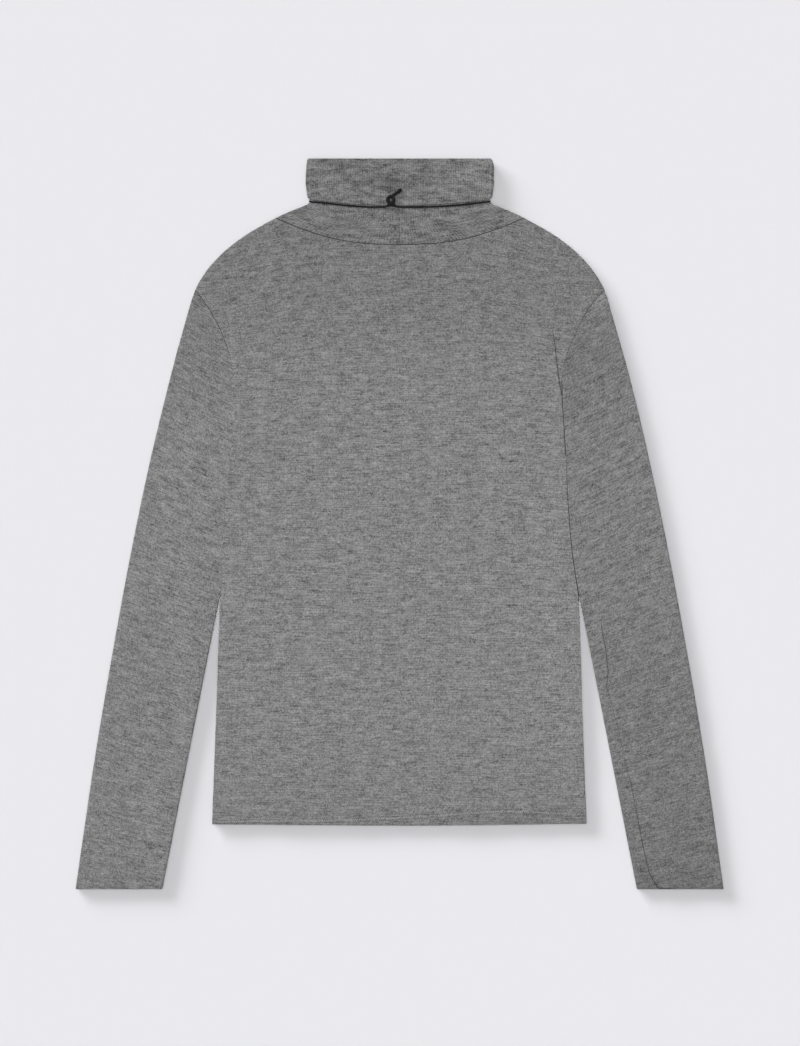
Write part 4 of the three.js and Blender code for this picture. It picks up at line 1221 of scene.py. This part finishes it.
class SWEATER_OT_cord(bpy.types.Operator):
    """Thin black cord tied once round the collar, with its knot and free tail"""

    bl_idname = "sweater.cord"
    bl_label = "Cord and knot"

    def execute(self, context):
        radius = sizes().cord_diameter / MM / 2
        material = waxed_cord("waxed twisted cotton cord")
        path = spaced(CORD_ROUTE, CORD_STEP)
        cord = strand("neck_cord_strand", path, radius, CORD_SIDES)
        finished(cord, material, "cord", "neck_cord")
        loop = strand("cord_knot_loop", spaced(KNOT_ROUTE, KNOT.step), KNOT.radius)
        finished(loop, material, "cord", "cord_knot")
        tail = strand("cord_tail", spaced(TAIL_ROUTE, TAIL.step), TAIL.radius)
        finished(tail, material, "cord")
        tip = spaced([TAIL_ROUTE[-1], TAIL_END], TAIL_TIP.step)
        end = finished(strand("cord_tail_end", tip, TAIL_TIP.radius), material, "cord")
        return {"FINISHED"}


def sewn(name, rows, stitch, thread):
    """Rows of a stitch in a thread."""
    return finished(stitches(name, rows, *stitch), thread, "jersey")


def panel_and_hem(layer, dark_name):
    """A body panel, its hem's stitches and needle rows, and the dark thread of those rows, which also
    paints the shade of the pinholes between the stitches.
    """
    cloth = heather_jersey(f"heather jersey, {layer}")
    panel = finished(body_panel(layer), cloth, "jersey", f"{layer}_panel")
    colours = bpy.context.scene.sweater_colours
    thread = stitching_thread(f"spun polyester thread, {layer} hem", colours.thread)
    dark = stitching_thread(f"spun polyester thread, {dark_name}", colours.seam_thread_and_shade)
    hem = sewn(f"{layer}_hem_stitches", hem_rows(layer, (0.5,)), HEM_STITCH, thread)
    needle = sewn(f"{layer}_needle_rows", hem_rows(layer, (0, 1)), NEEDLE_STITCH, dark)
    return panel, hem, needle, dark


class SWEATER_OT_front_panel(bpy.types.Operator):
    """Front panel, face down under the back, with its hem stitches"""

    bl_idname = "sweater.front_panel"
    bl_label = "Front panel"

    def execute(self, context):
        panel, hem, needle, _ = panel_and_hem("front", "front needle rows")
        return {"FINISHED"}


class SWEATER_OT_sleeves(bpy.types.Operator):
    """Both sleeves as flat tubes from armhole to cuff, with their cuff stitches"""

    bl_idname = "sweater.sleeves"
    bl_label = "Sleeves"

    def execute(self, context):
        colours = context.scene.sweater_colours
        thread = stitching_thread("spun polyester thread, cuffs", colours.seam_thread_and_shade)
        for side, name in ((-1, "left"), (1, "right")):
            cloth = heather_jersey(f"heather jersey, {name} sleeve")
            tube = finished(sleeve(side), cloth, "jersey", f"sleeve_{name}")
            cuff = sewn(f"{name}_cuff_stitches", cuff_rows(side), CUFF_STITCH, thread)
        return {"FINISHED"}


class SWEATER_OT_back_panel(bpy.types.Operator):
    """Back panel, on top, with its hem stitches"""

    bl_idname = "sweater.back_panel"
    bl_label = "Back panel"

    def execute(self, context):
        panel, hem, needle, dark = panel_and_hem("back", "seams")
        # Dark thread in the seams and creases: seam thread, and painted shade of their shadow lines
        seams = finished(stitches("seam_threads", *seam_rows(), SEAM_SHARE), dark, "jersey")
        return {"FINISHED"}


class SWEATER_OT_collar(bpy.types.Operator):
    """Collar: one tube turned down once outside itself"""

    bl_idname = "sweater.collar"
    bl_label = "Collar"

    def execute(self, context):
        cloth = heather_jersey("heather jersey, collar", ribbed=0.06, mottled=0.43)
        tube = finished(collar(), cloth, "collar_jersey", "collar")
        return {"FINISHED"}


class SWEATER_PT_panel(bpy.types.Panel):
    """Sizes, colours and the steps of the sweater"""

    bl_label = "Sweater"
    bl_idname = "SWEATER_PT_panel"
    bl_space_type = "VIEW_3D"
    bl_region_type = "UI"
    bl_category = "Sweater"

    def draw(self, context):
        layout = self.layout
        for group in (context.scene.sweater_sizes, context.scene.sweater_colours):
            box = layout.box()
            for name in type(group).__annotations__:
                box.prop(group, name)
        for step in STEPS:
            layout.operator(step.bl_idname)


STEPS = (
    SWEATER_OT_stage,
    SWEATER_OT_cord,
    SWEATER_OT_front_panel,
    SWEATER_OT_sleeves,
    SWEATER_OT_back_panel,
    SWEATER_OT_collar,
)
GROUPS = (SweaterSizes, SweaterColours)


def register():
    """Registers the classes and hangs the sizes and colours on the scene."""
    for made in (*GROUPS, *STEPS, SWEATER_PT_panel):
        bpy.utils.register_class(made)
    bpy.types.Scene.sweater_sizes = bpy.props.PointerProperty(type=SweaterSizes)
    bpy.types.Scene.sweater_colours = bpy.props.PointerProperty(type=SweaterColours)


def unregister():
    """Takes off what register put on."""
    del bpy.types.Scene.sweater_colours
    del bpy.types.Scene.sweater_sizes
    for made in (SWEATER_PT_panel, *reversed(STEPS), *reversed(GROUPS)):
        bpy.utils.unregister_class(made)


def main():
    register()
    for step in STEPS:
        group, name = step.bl_idname.split(".")
        getattr(getattr(bpy.ops, group), name)()


if __name__ == "__main__":
    main()
